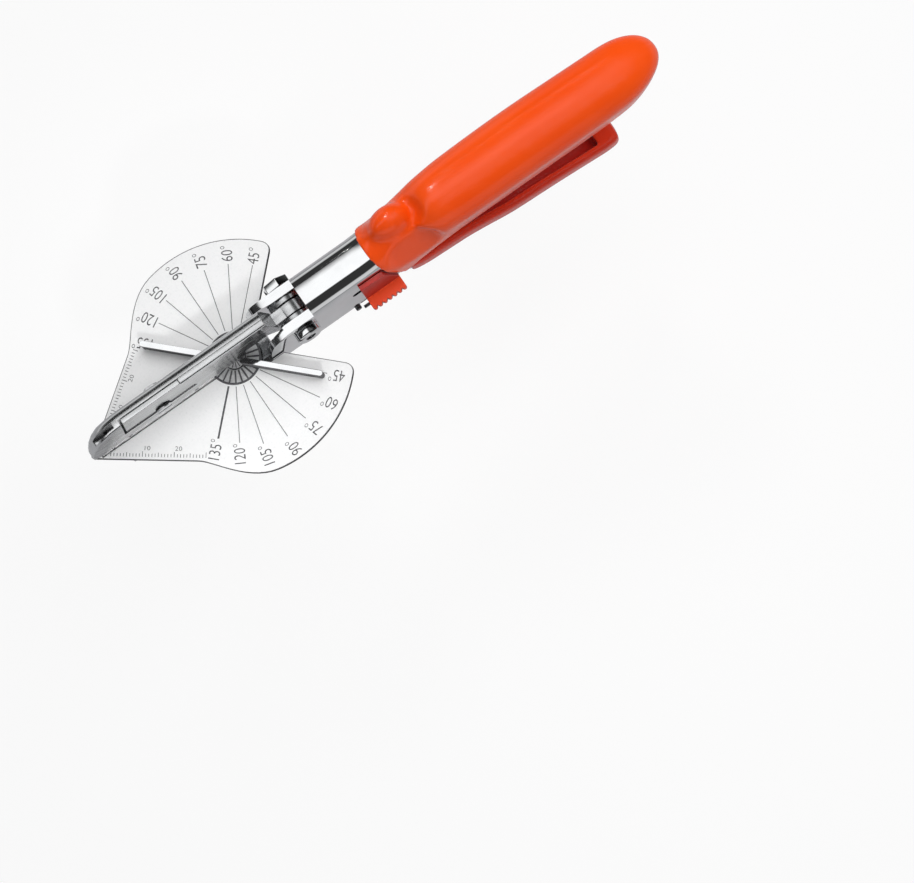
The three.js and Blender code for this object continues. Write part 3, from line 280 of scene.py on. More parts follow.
finishValues = {
    "chrome": {
        "name": "polishedChrome", "metal": 1, "colour": (0.78, 0.79, 0.8), "roughness": 0.06,
        "tint": {"scale": 90, "detail": 6, "rough": 0.6},
        "stops": [(0.3, (0.73, 0.74, 0.75)), (0.65, (0.81, 0.82, 0.83))],
        "gloss": {"scale": 260, "stretch": (1, 4, 4)}, "glossRange": (0.04, 0.09),
        "reliefs": [
            ({"scale": 220, "stretch": (0.3, 1, 1), "detail": 2}, 0.004, 0.4),
            ({"scale": 1400, "stretch": (0.08, 1, 1), "detail": 3}, 0.002, 0.5)],
    },
    "steel": {
        "name": "brightSteel", "metal": 1, "colour": (0.66, 0.67, 0.68), "roughness": 0.2,
        "tint": {"scale": 300, "detail": 6},
        "stops": [(0.3, (0.55, 0.56, 0.57)), (0.7, (0.74, 0.75, 0.76))],
        "gloss": {"scale": 700}, "glossRange": (0.14, 0.3),
        "reliefs": [({"scale": 1800, "stretch": (1, 0.15, 1), "detail": 3}, 0.004, 0.6)],
    },
    "brushed": {
        "name": "groundSteel", "metal": 1, "colour": (0.7, 0.71, 0.72), "roughness": 0.24,
        "tint": {"scale": 160, "stretch": (0.3, 1, 6)},
        "stops": [(0.3, (0.6, 0.61, 0.62)), (0.7, (0.78, 0.79, 0.8))],
        "gloss": {"scale": 500, "stretch": (0.2, 1, 5)}, "glossRange": (0.18, 0.34),
        "reliefs": [({"scale": 2600, "stretch": (1, 1, 0.05), "detail": 3}, 0.004, 0.7)],
    },
    "satin": {
        "name": "satinPlate", "metal": 0.08, "colour": (0.92, 0.92, 0.92), "roughness": 0.4,
        "tint": {"scale": 1500, "detail": 5, "rough": 0.75},
        "stops": [
            (0.3, (0.84, 0.845, 0.845)), (0.42, (0.92, 0.925, 0.925)), (0.6, (0.95, 0.95, 0.95))],
        "gloss": {"scale": 350, "detail": 5}, "glossRange": (0.32, 0.46),
        "reliefs": [({"scale": 2400, "detail": 3}, 0.006, 0.6)],
    },
    "dark": {
        "name": "darkSteel", "metal": 1, "colour": (0.2, 0.2, 0.21), "roughness": 0.35,
        "tint": {"scale": 400, "detail": 6},
        "stops": [(0.3, (0.12, 0.12, 0.125)), (0.7, (0.3, 0.3, 0.31))],
        "gloss": {"scale": 900}, "glossRange": (0.25, 0.45),
        "reliefs": [({"scale": 1500}, 0.008, 0.6)],
    },
    "vinyl": vinylValues("dippedVinyl", (0.93, 0.072, 0.002), (0.97, 0.09, 0.004), 0.12),
    # painted shade: the lower grip is given a darker red, the shade it lies in under the upper one
    "lowerVinylPaintedShade": vinylValues("dippedVinylLowerPaintedShade", (0.64, 0.034, 0.012), (0.7, 0.042, 0.014), 0.25),
    # painted shade: a still darker red for the inside of the lower grip's hollow
    "insideVinylPaintedShade": vinylValues(
        "dippedVinylInsidePaintedShade", (0.42, 0.014, 0.009), (0.48, 0.018, 0.011), 0.05),
    "plastic": plasticValues("latchPlastic", (0.84, 0.062, 0.014), (0.93, 0.084, 0.02)),
    # painted shade: a darker red for the latch slider's plate part
    "plasticPaintedShade": plasticValues("latchPlasticPaintedShade", (0.4, 0.02, 0.014), (0.5, 0.026, 0.018)),
    # dark marks: the printed scale, and painted shade on the plate's edges, the fence bars' sides,
    # the groove floors, the screw head and the gap round the disc
    "inkAndPaintedShade": {
        "name": "etchedMarksAndPaintedShade", "metal": 0, "colour": (0.09, 0.09, 0.095), "roughness": 0.6,
        "tint": {"scale": 900, "detail": 6, "rough": 0.7},
        "stops": [(0.3, (0.05, 0.05, 0.055)), (0.62, (0.13, 0.13, 0.135)), (0.8, (0.3, 0.3, 0.3))],
        "glossRange": (0.5, 0.7),
    },
    # the arm's side faces: brushed along the tool, with a darker colour than its polished top as
    # painted shade
    "wallsPaintedShade": {
        "name": "brushedWallsPaintedShade", "metal": 1, "colour": (0.55, 0.555, 0.56), "roughness": 0.24,
        "tint": {"scale": 120, "stretch": (0.2, 1, 4)},
        "stops": [(0.3, (0.44, 0.445, 0.45)), (0.7, (0.66, 0.665, 0.67))],
        "gloss": {"scale": 300, "stretch": (0.2, 1, 4)}, "glossRange": (0.16, 0.3),
        "reliefs": [({"scale": 2400, "stretch": (0.05, 1, 1), "detail": 3}, 0.004, 0.6)],
    },
    "turned": {
        "name": "turnedSteel", "metal": 0.5, "colour": (0.72, 0.73, 0.73), "roughness": 0.34,
        "tint": {"scale": 700, "detail": 6},
        "stops": [(0.3, (0.58, 0.585, 0.59)), (0.6, (0.82, 0.825, 0.83))],
        "gloss": {"scale": 500}, "glossRange": (0.26, 0.42),
        "reliefs": [({"scale": 1800, "detail": 3}, 0.006, 0.6)],
    },
    # the arm is plated over ground steel, so it mirrors less sharply than the frame
    "armChrome": {
        "name": "armChrome", "metal": 1, "colour": (0.76, 0.77, 0.78), "roughness": 0.24,
        "tint": {"scale": 120, "stretch": (0.3, 1, 1), "detail": 6},
        "stops": [(0.3, (0.7, 0.71, 0.72)), (0.65, (0.82, 0.83, 0.84))],
        "gloss": {"scale": 260, "stretch": (0.3, 3, 3)}, "glossRange": (0.19, 0.28),
        "reliefs": [({"scale": 1800, "stretch": (0.06, 1, 1), "detail": 3}, 0.003, 0.5)],
    },
}
finishes = {key: makeFinish(values) for key, values in finishValues.items()}
print("finishes made:", len(finishes))


# Metal and plastic pieces that keep the CAD's shape, with broken edges and smooth curves
# node: new name, finish, width of the broken edge in mm, and the angle of a real edge if not 32
dressing = {
    "frame_channel": ("frameShell", "chrome", 0.22),
    "jaw_bar": ("jawBar", "steel", 0.25),
    "protractor_plate": ("plateSheet", "satin", 0.3),
    "anvil_strip": ("anvilStrip", "satin", 0.08),
    "plate_screw_front": ("plateScrewFront", "steel", 0.1),
    "plate_screw_rear": ("plateScrewRear", "steel", 0.1),
    "jaw_rivet_front": ("jawRivetFront", "steel", 0.15),
    "jaw_rivet_rear": ("jawRivetRear", "steel", 0.15),
    "turntable_screw": ("turntableScrew", "turned", 0.12),
    "turntable_washer": ("turntableWasher", "dark", 0.05),
    "turntable_disc": ("turntableDisc", "turned", 0.06),
    "fence_right": ("fenceBarRight", "chrome", 0.5),
    "fence_left": ("fenceBarLeft", "chrome", 0.5),
    "fence_pin_right": ("fencePinRight", "dark", 0.08),
    "fence_pin_left": ("fencePinLeft", "dark", 0.08),
    "hinge_bolt": ("hingeBolt", "chrome", 0.22),
    "hinge_washer": ("hingeWasher", "steel", 0.12),
    "hinge_nut": ("hingeNut", "chrome", 0.25),
    "hinge_sleeve": ("hingeSleeve", "dark", 0.1),
    "blade_arm": ("bladeArm", "armChrome", 0.16),
    "blade": ("blade", "brushed", 0.03, 20),
    "blade_clamp_plate": ("clampPlate", "armChrome", 0.12),
    "clamp_screw": ("clampScrew", "steel", 0.12),
    "clamp_nut": ("clampNut", "steel", 0.15),
    "lower_lever": ("leverChannel", "steel", 0.15),
    "lever_rivet_upper": ("leverRivetUpper", "steel", 0.12),
    "lever_rivet_lower": ("leverRivetLower", "steel", 0.12),
    "spring_pin": ("springPin", "steel", 0.12),
    "catch_pin": ("catchPin", "dark", 0.15),
    "latch_slider": ("latchSlider", "plastic", 0.18),
    "latch_bracket": ("latchBracket", "dark", 0.1),
    "latch_rivet": ("latchRivet", "dark", 0.1),
    "latch_keeper": ("latchKeeper", "steel", 0.1),
    "latch_pin_front": ("latchPinFront", "steel", 0.1),
    "latch_pin_rear": ("latchPinRear", "steel", 0.1),
}
flatWithin = 0.6  # degrees: facets flatter than this are joined
smoothMore = 6  # degrees over the angle of a real edge that are still shaded smooth


def dressNode(node, name, finish, edge, angle=32):
    piece = bpy.data.objects.new(name, frame["nodes"][node].data.copy())
    bpy.context.scene.collection.objects.link(piece)
    piece.data.materials.clear()
    piece.data.materials.append(finishes[finish])
    pickUp(piece)
    bpy.ops.object.mode_set(mode="EDIT")
    bpy.ops.mesh.select_all(action="SELECT")
    bpy.ops.mesh.remove_doubles(threshold=weld * mm)
    bpy.ops.mesh.dissolve_limited(angle_limit=math.radians(flatWithin))
    bpy.ops.object.mode_set(mode="OBJECT")
    useModifier(
        piece, "BEVEL", width=edge * mm, segments=2, limit_method="ANGLE",
        angle_limit=math.radians(angle), use_clamp_overlap=True)
    pickUp(piece)
    bpy.ops.object.shade_smooth_by_angle(angle=math.radians(angle + smoothMore))
    useModifier(piece, "WEIGHTED_NORMAL", keep_sharp=True, weight=60)
    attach(piece, bodyOfNode[node])
    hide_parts(node)
    return piece


def paintFaces(piece, finish, test):
    # gives a second finish to the faces that pass the test on centre and normal
    piece.data.materials.append(finishes[finish])
    second = len(piece.data.materials) - 1
    for face in piece.data.polygons:
        if test(face.center / mm, face.normal):
            face.material_index = second


dressed = {node: dressNode(node, *look) for node, look in dressing.items()}

# node, second finish, test on a face's centre in mm and on its normal
painting = [
    # painted shade: the plate's edge faces are dark
    ("protractor_plate", "inkAndPaintedShade", lambda c, n: abs(n.z) < 0.95 and c.xy.length > 9),
    # painted shade: the side faces of both fence bars are dark
    ("fence_right", "inkAndPaintedShade", lambda c, n: abs(n.z) < 0.9),
    ("fence_left", "inkAndPaintedShade", lambda c, n: abs(n.z) < 0.9),
    # painted shade on the slider's plate part and on faces facing along the tool beyond y -12 mm
    ("latch_slider", "plasticPaintedShade", lambda c, n: c.z > 7.6 or (c.y < -12 and abs(n.x) > 0.6)),
    # painted shade: the side faces of the arm and the clamp plate get the darker finish
    ("blade_arm", "wallsPaintedShade", lambda c, n: abs(n.y) > 0.93),
    ("blade_clamp_plate", "wallsPaintedShade", lambda c, n: abs(n.y) > 0.8),
]
for node, finish, test in painting:
    paintFaces(dressed[node], finish, test)

# The slider's top lies against the frame; frame and lever are slimmer where the grips hide them
# node, test on a vertex in mm, factor on its y, shift in mm
fitting = [
    ("latch_slider", lambda x, y, z: z > 17.9 and y > -8.1, 1, (0, 0.3, 0)),
    ("frame_channel", lambda x, y, z: x > 57.5 and abs(y) > 6, 0.87, (0, 0, 0)),
    ("frame_channel", lambda x, y, z: 57.5 < x < 79 and z > 15 and abs(y) > 5, 0.86, (0, 0, 0)),
    ("frame_channel", lambda x, y, z: x > 135 and z < 16, 1, (0, 0, 1.2)),
    ("lower_lever", lambda x, y, z: x > 66, 0.94, (0, 0, 0)),
]
for node, test, width, shift in fitting:
    pickUp(dressed[node])
    bpy.ops.object.mode_set(mode="EDIT")
    selectWhere(dressed[node], lambda co: test(*(co / mm)))
    bpy.ops.transform.resize(value=(1, width, 1), center_override=(0, 0, 0))
    bpy.ops.transform.translate(value=Vector(shift) * mm)
    bpy.ops.object.mode_set(mode="OBJECT")
print("metal and plastic dressed:", len(dressed))


# Plate edge: a dark band round the outline, painted shade along the plate's edge
plateEdgeShadeValues = {"width": 0.22, "rise": 0.012, "beyond": 9}


def makePlateRim(v):
    edgeShade = bpy.data.objects.new("plateEdgeShade", frame["nodes"]["protractor_plate"].data.copy())
    bpy.context.scene.collection.objects.link(edgeShade)
    pickUp(edgeShade)
    bpy.ops.object.mode_set(mode="EDIT")
    bpy.ops.mesh.select_all(action="SELECT")
    bpy.ops.mesh.remove_doubles(threshold=weld * mm)
    bpy.ops.mesh.select_mode(type="FACE")
    mesh = bmesh.from_edit_mesh(edgeShade.data)
    mesh.faces.ensure_lookup_table()
    for face in mesh.faces:
        inside = face.calc_center_median().xy.length < v["beyond"] * mm
        face.select = abs(face.normal.z) > 0.5 or inside
    bmesh.update_edit_mesh(edgeShade.data)
    bpy.ops.mesh.delete(type="FACE")
    bpy.ops.mesh.select_all(action="SELECT")
    bpy.ops.transform.translate(value=(0, 0, v["rise"] * mm))
    bpy.ops.object.mode_set(mode="OBJECT")
    useModifier(edgeShade, "SOLIDIFY", thickness=v["width"] * mm, offset=-1)
    edgeShade.data.materials.clear()
    edgeShade.data.materials.append(finishes["inkAndPaintedShade"])
    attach(edgeShade, "frame")
    return edgeShade


plateEdgeShade = makePlateRim(plateEdgeShadeValues)
print("plate rim made")


# Upper grip: dipped vinyl with a thumb knob, open underneath
upperGripValues = {
    "sheet": [  # x, lower edge and top of the sheet, how far the skin swells out
        (48, 0, 21.5, -0.7), (54, 2, 22.5, -0.6), (57, 3.6, 23.3, -0.4), (62, 6, 24.3, 0.2),
        (68, 7.8, 25.3, 0.7), (72, 8.6, 26.5, 1), (77, 9.2, 28.5, 1.2), (85, 9.8, 29.3, 1.5),
        (130, 9.8, 29.3, 1.5), (143, 11, 28.6, 1.2), (150, 11.5, 28.1, 1.2)],
    "sheetHalfWidth": 7.3, "sheetThickness": 2.4, "skin": 2.5, "lip": 1.9, "footSkin": 1.25,
    "domeX": 142, "tailX": 160, "tailLean": 1.5, "topBend": 8.4, "bottomBend": 2,
    "leftTrim": [
        (48, 0), (52, 0.3), (58, 1.5), (66, 1.9), (76, 1.9), (85, 1.4), (95, 1.1), (110, 0.9),
        (120, 1.1), (130, 1.4), (161, 1.5)],
    "shoulder": [
        (48, 0), (62, 0), (68, 0.3), (71, 0.8), (74, 1.6), (78, 1.1), (82, 0.5), (87, 0), (161, 0)],
    "ringXs": [
        44, 48, 51, 54, 57, 60, 63, 66, 69, 72, 75, 78, 81, 85, 92, 100, 110, 120, 130, 137, 143],
    "domeShares": (0.25, 0.45, 0.62, 0.76, 0.87, 0.95, 0.985),
    "hollow": (64.9, 0.4, 34.3), "hollowRadius": 9.5,
    "pinch": (64.5, -7.4, 20), "pinchLean": 66, "pinchRadii": (8, 11), "pinchDepth": 6,
    "knob": (63, 1.8, 25.4), "knobSize": (7.4, 5.2, 6.2),
    "foot": (58.8, 1.8, 22.4), "footSize": (6, 5, 5),
    "mouthTop": (51.4, 24.4), "mouthFoot": (60, 0), "mouthBlock": 60,
    "wideXs": [40, 48, 51, 54, 57, 57.99],
    "linedXs": [58, 62, 65, 68, 70, 72, 75, 78, 81, 85, 107, 130, 140, 150],
    "lining": 0.8, "roomBelow": -20, "roomTopBend": 1.2, "roomBottomBend": 0.2,
    "voxel": 0.55, "melting": 28, "smoothing": 11,
}


def upperGripRing(v, x):
    _, low, high, swell = between(v["sheet"], x)
    along = max(0, (x - v["domeX"]) / (v["tailX"] - v["domeX"]))
    shrink = (1 - along ** 2) ** (1 / 2)
    low, high = low - v["lip"], high + v["skin"] + between(v["shoulder"], x)[1]
    middle, half = (low + high) / 2, (high - low) / 2 * shrink
    trim = between(v["leftTrim"], x)[1] / 2
    width = v["sheetHalfWidth"] + v["skin"] + swell - trim
    foot = v["sheetHalfWidth"] + v["footSkin"] - trim
    y = v["tailLean"] * along - trim
    return x, y, width * shrink, foot * shrink, middle - half, middle + half


def makeUpperGrip(v):
    reach = v["tailX"] - v["domeX"]
    ringXs = v["ringXs"] + [v["domeX"] + reach * share for share in v["domeShares"]]
    grip = drawBar(
        "upperGrip", [upperGripRing(v, x) for x in ringXs], v["topBend"], v["bottomBend"])
    useModifier(grip, "SUBSURF", levels=2, render_levels=2)
    # a round hollow in the top
    clearSelection()
    bpy.ops.mesh.primitive_uv_sphere_add(
        segments=96, ring_count=48, radius=v["hollowRadius"] * mm,
        location=Vector(v["hollow"]) * mm)
    scoop = bpy.context.object
    fixPlace(scoop)
    cutWith(grip, scoop)
    # a flat for the finger in the right side
    lean = math.radians(v["pinchLean"])
    outwards = Vector((0, -math.sin(lean), math.cos(lean)))
    clearSelection()
    bpy.ops.mesh.primitive_cone_add(
        vertices=72, radius1=v["pinchRadii"][0] * mm, radius2=v["pinchRadii"][1] * mm,
        depth=v["pinchDepth"] * mm, rotation=(lean, 0, 0),
        location=(Vector(v["pinch"]) + v["pinchDepth"] / 2 * outwards) * mm)
    pinch = bpy.context.object
    fixPlace(pinch)
    cutWith(grip, pinch)
    # the thumb knob that stands in the hollow, with its foot
    pieces = [grip]
    for place, size in (("knob", "knobSize"), ("foot", "footSize")):
        clearSelection()
        bpy.ops.mesh.primitive_uv_sphere_add(
            segments=48, ring_count=24, radius=mm, location=Vector(v[place]) * mm, scale=v[size])
        pieces.append(bpy.context.object)
        fixPlace(pieces[-1])
    grip = joinPieces(pieces, "upperGrip")
    useModifier(grip, "REMESH", mode="VOXEL", voxel_size=v["voxel"] * mm)
    useModifier(grip, "SMOOTH", factor=0.5, iterations=v["melting"])
    # the mouth, a slanted cut
    (topX, topZ), (footX, footZ) = v["mouthTop"], v["mouthFoot"]
    half = v["mouthBlock"] / 2
    clearSelection()
    bpy.ops.mesh.primitive_cube_add(
        size=v["mouthBlock"] * mm, location=((topX - half) * mm, 0, topZ * mm))
    mouth = bpy.context.object
    fixPlace(mouth)
    bpy.ops.object.mode_set(mode="EDIT")
    selectWhere(mouth, lambda co: co.x > (topX - half) * mm and co.z < topZ * mm)
    drop = half * (footX - topX) / (topZ - footZ)
    bpy.ops.transform.translate(value=(drop * mm, 0, 0))
    selectWhere(mouth, lambda co: co.x > (topX - half) * mm and co.z > topZ * mm)
    bpy.ops.transform.translate(value=(-drop * mm, 0, 0))
    bpy.ops.object.mode_set(mode="OBJECT")
    cutWith(grip, mouth)
    # the room that the lever closes into, wider ahead of the lining
    sheet = v["sheetThickness"]
    wide, narrow = v["sheetHalfWidth"] - sheet / 2, v["sheetHalfWidth"] - sheet - v["lining"]
    rings = [
        (x, 0, wide, wide, v["roomBelow"], between(v["sheet"], x)[2] - sheet / 2)
        for x in v["wideXs"]]
    rings += [
        (x, 0, narrow, narrow, v["roomBelow"], between(v["sheet"], x)[2] - sheet - v["lining"])
        for x in v["linedXs"]]
    cutWith(grip, drawBar("gripRoom", rings, v["roomTopBend"], v["roomBottomBend"], steps=4))
    useModifier(grip, "REMESH", mode="VOXEL", voxel_size=v["voxel"] * mm)
    useModifier(grip, "SMOOTH", factor=0.5, iterations=v["smoothing"])
    pickUp(grip)
    bpy.ops.object.shade_smooth()
    grip.data.materials.clear()
    grip.data.materials.append(finishes["vinyl"])
    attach(grip, "frame")
    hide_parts("upper_grip")
    return grip


upperGrip = makeUpperGrip(upperGripValues)
print("upper grip:", len(upperGrip.data.polygons), "faces")


# Lower grip: a trough of the same vinyl, coloured a darker red as painted shade
lowerGripValues = {
    "lever": [  # x, half width, bottom and top of the lever's sheet
        (57, 4.6, -6, 1.8), (61, 6.3, -6.8, 0.6), (66, 7, -7.3, 0.3), (72, 7.2, -7.7, 0.1),
        (80, 7.4, -8.2, -0.2), (90, 7.5, -11.5, -3.2), (97, 7.6, -14.2, -6),
        (114, 7.7, -16.5, -8.5), (132, 7.8, -20, -12)],
    "skin": 1.05, "lip": 1.3, "topBend": 1.2, "bottomBend": 5.2,
    "frontXs": [60.9, 62],
    "ringXs": [64, 66, 69, 72, 76, 80, 83, 86, 90, 93.5, 97, 102, 108, 114, 122],
    "sheetRearX": 132, "tailX": 139, "tailShares": (0.3, 0.55, 0.75, 0.9, 1),
    "tailSize": 0.5, "tailDrop": 0.4,
    "hollowFrontXs": [50, 61], "hollowRearX": 131.5, "hollowInset": 1.4, "hollowFloor": 1.7,
    "hollowHeight": 24, "hollowTopBend": 0.5, "hollowBottomBend": 2.5, "paintMargin": 0.3,
    "voxel": 0.42, "melting": 8, "smoothing": 5,
}


def lowerGripRing(v, x):
    _, half, low, high = between(v["lever"], x)
    along = max(0, (x - v["sheetRearX"]) / (v["tailX"] - v["sheetRearX"]))
    shrink = v["tailSize"] + (1 - v["tailSize"]) * (1 - along ** 4) ** (1 / 4)
    low, high = low - v["skin"], high + v["lip"]
    middle, height = (low + high) / 2 - v["tailDrop"] * along, (high - low) / 2 * shrink
    width = (half + v["skin"]) * shrink
    return x, 0, width, width, middle - height, middle + height


# which faces lie in the hollow and get its painted shade
def insideHollow(v, c):
    _, half, low, high = between(v["lever"], c.x)
    margin = v["paintMargin"]
    return (
        c.x < v["hollowRearX"] + margin and abs(c.y) < half - v["hollowInset"] + margin
        and low + v["hollowFloor"] - margin < c.z < high + 2 * margin)


def makeLowerGrip(v):
    span = v["tailX"] - v["sheetRearX"]
    tail = [v["sheetRearX"] + span * share for share in v["tailShares"]]
    ringXs = v["frontXs"] + v["ringXs"] + [v["sheetRearX"]] + tail
    grip = drawBar(
        "lowerGrip", [lowerGripRing(v, x) for x in ringXs], v["topBend"], v["bottomBend"])
    useModifier(grip, "REMESH", mode="VOXEL", voxel_size=v["voxel"] * mm)
    useModifier(grip, "SMOOTH", factor=0.5, iterations=v["melting"])
    rings = []
    for x in v["hollowFrontXs"] + v["ringXs"] + [v["hollowRearX"]]:
        _, half, low, _ = between(v["lever"], x)
        inside = half - v["hollowInset"]
        rings.append((x, 0, inside, inside, low + v["hollowFloor"], low + v["hollowHeight"]))
    cutWith(grip, drawBar(
        "lowerHollow", rings, v["hollowTopBend"], v["hollowBottomBend"], steps=6))
    useModifier(grip, "REMESH", mode="VOXEL", voxel_size=v["voxel"] * mm)
    useModifier(grip, "SMOOTH", factor=0.5, iterations=v["smoothing"])
    pickUp(grip)
    bpy.ops.object.shade_smooth()
    grip.data.materials.clear()
    # painted shade: the grip gets the darker red finish
    grip.data.materials.append(finishes["lowerVinylPaintedShade"])
    # painted shade: the faces inside the hollow get the darker red
    paintFaces(grip, "insideVinylPaintedShade", lambda c, n: insideHollow(v, c))
    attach(grip, "lever")
    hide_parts("lower_grip")
    return grip


lowerGrip = makeLowerGrip(lowerGripValues)
print("lower grip:", len(lowerGrip.data.polygons), "faces")


# Return spring: round wire, wound like the CAD's
springValues = {
    "pin": (42, 3.4), "coilRadius": 2.9, "wireRadius": 0.5, "pitch": 1.42, "turns": 2,
    "upperAngle": 51, "lowerAngle": -20, "lowerLeg": 11.5, "underWeb": 18.3, "stepsPerTurn": 24,
}


def makeSpring(v):
    upper, lower = math.radians(v["upperAngle"]), math.radians(v["lowerAngle"])
    start = upper + math.pi / 2
    end = lower - math.pi / 2 + 2 * math.pi * (v["turns"] + 1)
    turns = (end - start) / (2 * math.pi)
    half = turns * v["pitch"] / 2
    px, pz = v["pin"]

    def onCoil(angle, y):
        x, z = px + v["coilRadius"] * math.cos(angle), pz + v["coilRadius"] * math.sin(angle)
        return Vector((x, y, z))

    first = onCoil(start, half)
    reach = (v["underWeb"] - first.z) / math.sin(upper)
    route = [first + Vector((reach * math.cos(upper), 0, reach * math.sin(upper)))]
    steps = round(turns * v["stepsPerTurn"])
    for i in range(steps + 1):
        route.append(onCoil(start + (end - start) * i / steps, half - 2 * half * i / steps))
    leg = Vector((math.cos(lower), 0, math.sin(lower)))
    route.append(route[-1] + v["lowerLeg"] * leg)
    curve = bpy.data.curves.new("returnSpring", "CURVE")
    curve.dimensions = "3D"
    curve.bevel_depth = v["wireRadius"] * mm
    curve.bevel_resolution = 3
    curve.use_fill_caps = True
    line = curve.splines.new("POLY")
    line.points.add(len(route) - 1)
    for point, co in zip(line.points, route):
        point.co = (*(co * mm), 1)
    wire = bpy.data.objects.new("returnSpring", curve)
    bpy.context.scene.collection.objects.link(wire)
    pickUp(wire)
    bpy.ops.object.convert(target="MESH")
    wire = bpy.context.object
    bpy.ops.object.shade_smooth_by_angle(angle=math.radians(50))
    wire.data.materials.clear()
    wire.data.materials.append(finishes["dark"])
    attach(wire, "lever")
    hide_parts("return_spring")
    return wire


returnSpring = makeSpring(springValues)
print("spring wound")


# Scale on the plate: angle lines, millimetre marks along the tip and their figures
scaleValues = {
    "top": 6.5, "rise": 0.012, "thin": 0.23, "bold": 0.6, "lineStart": 9,
    "lines": {45: 29.6, 60: 29.8, 75: 29.6, 90: 30, 105: 28.6, 120: 26.6, 135: 25.6},
    "labels": {45: 32.6, 60: 33.2, 75: 33.2, 90: 33.8, 105: 32.4, 120: 30.3, 135: 29.3},
    "labelSize": 5.2, "labelWidth": 0.74, "thinning": 0.006,
    "tip": (-54.4, 36.5), "zeroFromTip": 6.4, "marks": 30, "markEdge": 1.0, "markWidth": 0.2,
    "markLengths": (1.0, 1.35, 1.7), "digitSize": 2, "digitWidth": 1.2, "digitGap": 0.95,
    "digitShifts": {0: 0.7, 10: 1.3, 20: 1.3},
}


def drawStroke(start, end, width):
    # a thin strip on the plate
    v = scaleValues
    start, end = Vector(start), Vector(end)
    middle, run = (start + end) / 2, end - start
    clearSelection()
    bpy.ops.mesh.primitive_plane_add(
        size=mm, location=(middle.x * mm, middle.y * mm, v["top"] * mm),
        rotation=(0, 0, math.atan2(run.y, run.x)))
    strip = bpy.context.object
    strip.scale = (run.length, width, 1)
    fixPlace(strip)
    return strip


def drawFigures(text, place, angle, size, width):
    v = scaleValues
    clearSelection()
    bpy.ops.object.text_add(
        location=(place[0] * mm, place[1] * mm, v["top"] * mm), rotation=(0, 0, angle))
    figures = bpy.context.object
    figures.data.body = text
    figures.data.size = size * mm
    figures.data.align_x = "CENTER"
    figures.data.align_y = "CENTER"
    figures.data.offset = -v["thinning"] * size * mm
    figures.data.resolution_u = 3
    figures.scale = (width, 1, 1)
    bpy.ops.object.convert(target="MESH")
    figures = bpy.context.object
    fixPlace(figures)
    return figures


def makeScale(v):
    strokes = []
    shortMark, fiveMark, tenMark = v["markLengths"]
    for side in (-1, 1):
        for degrees, reach in v["lines"].items():
            angle = math.radians(degrees)
            way = Vector((math.cos(angle), side * math.sin(angle)))
            width = v["bold"] if degrees == 135 and side < 0 else v["thin"]
            strokes.append(drawStroke(way * v["lineStart"], way * reach, width))
            turn = math.atan2(side * way.y, side * way.x)
            place = way * v["labels"][degrees]
            strokes.append(
                drawFigures(f"{degrees}°", place, turn, v["labelSize"], v["labelWidth"]))
        tipX, slant = v["tip"]
        along = Vector((math.cos(math.radians(slant)), side * math.sin(math.radians(slant))))
        inward = Vector((along.y * side, -along.x * side))
        for mark in range(v["marks"] + 1):
            length = tenMark if mark % 10 == 0 else fiveMark if mark % 5 == 0 else shortMark
            foot = Vector((tipX, 0)) + along * (v["zeroFromTip"] + mark) + inward * v["markEdge"]
            strokes.append(drawStroke(foot, foot + inward * length, v["markWidth"]))
            if mark in v["digitShifts"]:
                place = foot + inward * (tenMark + v["digitGap"]) + along * v["digitShifts"][mark]
                turn = math.atan2(along.y, along.x)
                strokes.append(
                    drawFigures(str(mark), place, turn, v["digitSize"], v["digitWidth"]))
    scale = joinPieces(strokes, "plateScale")
    useModifier(scale, "SOLIDIFY", thickness=v["rise"] * mm, offset=1)
    scale.data.materials.clear()
    scale.data.materials.append(finishes["inkAndPaintedShade"])
    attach(scale, "frame")
    return scale


plateScale = makeScale(scaleValues)
print("scale drawn:", len(plateScale.data.polygons), "faces")


# Turntable: painted shade on the groove floors and in the serrations of the screw head, and a dark
# ring as painted shade in the gap round the disc
turntableValues = {
    "grooves": 24, "grooveFrom": 3.95, "grooveTo": 7.95, "grooveWidth": 0.56,
    "grooveFloor": 6.15, "grooveShadeThickness": 0.03,
    "serrations": 16, "serrationFrom": 1.3, "serrationTo": 3.1, "serrationWidth": 0.3,
    "screwTop": 6.3, "serrationShadeThickness": 0.02,
    "gapShadeRadius": 8.17, "gapShadeLow": 6.3, "gapShadeTop": 6.515, "gapShadeWidth": 0.7,
}


def drawSpokes(name, count, inner, outer, width, level, thick):
    # one spoke is drawn and copied round the pivot
    clearSelection()
    bpy.ops.mesh.primitive_plane_add(size=mm, location=((inner + outer) / 2 * mm, 0, level * mm))
    first = bpy.context.object
    first.scale = (outer - inner, width, 1)
    fixPlace(first)
    spokes = [first]
    for i in range(1, count):
        spoke = bpy.data.objects.new(f"{name}{i}", first.data.copy())
        bpy.context.scene.collection.objects.link(spoke)
        spoke.rotation_euler = (0, 0, 2 * math.pi * i / count)
        fixPlace(spoke)
        spokes.append(spoke)
    fan = joinPieces(spokes, name)
    useModifier(fan, "SOLIDIFY", thickness=thick * mm, offset=1)
    # painted shade: the spokes get the dark finish
    fan.data.materials.clear()
    fan.data.materials.append(finishes["inkAndPaintedShade"])
    return fan


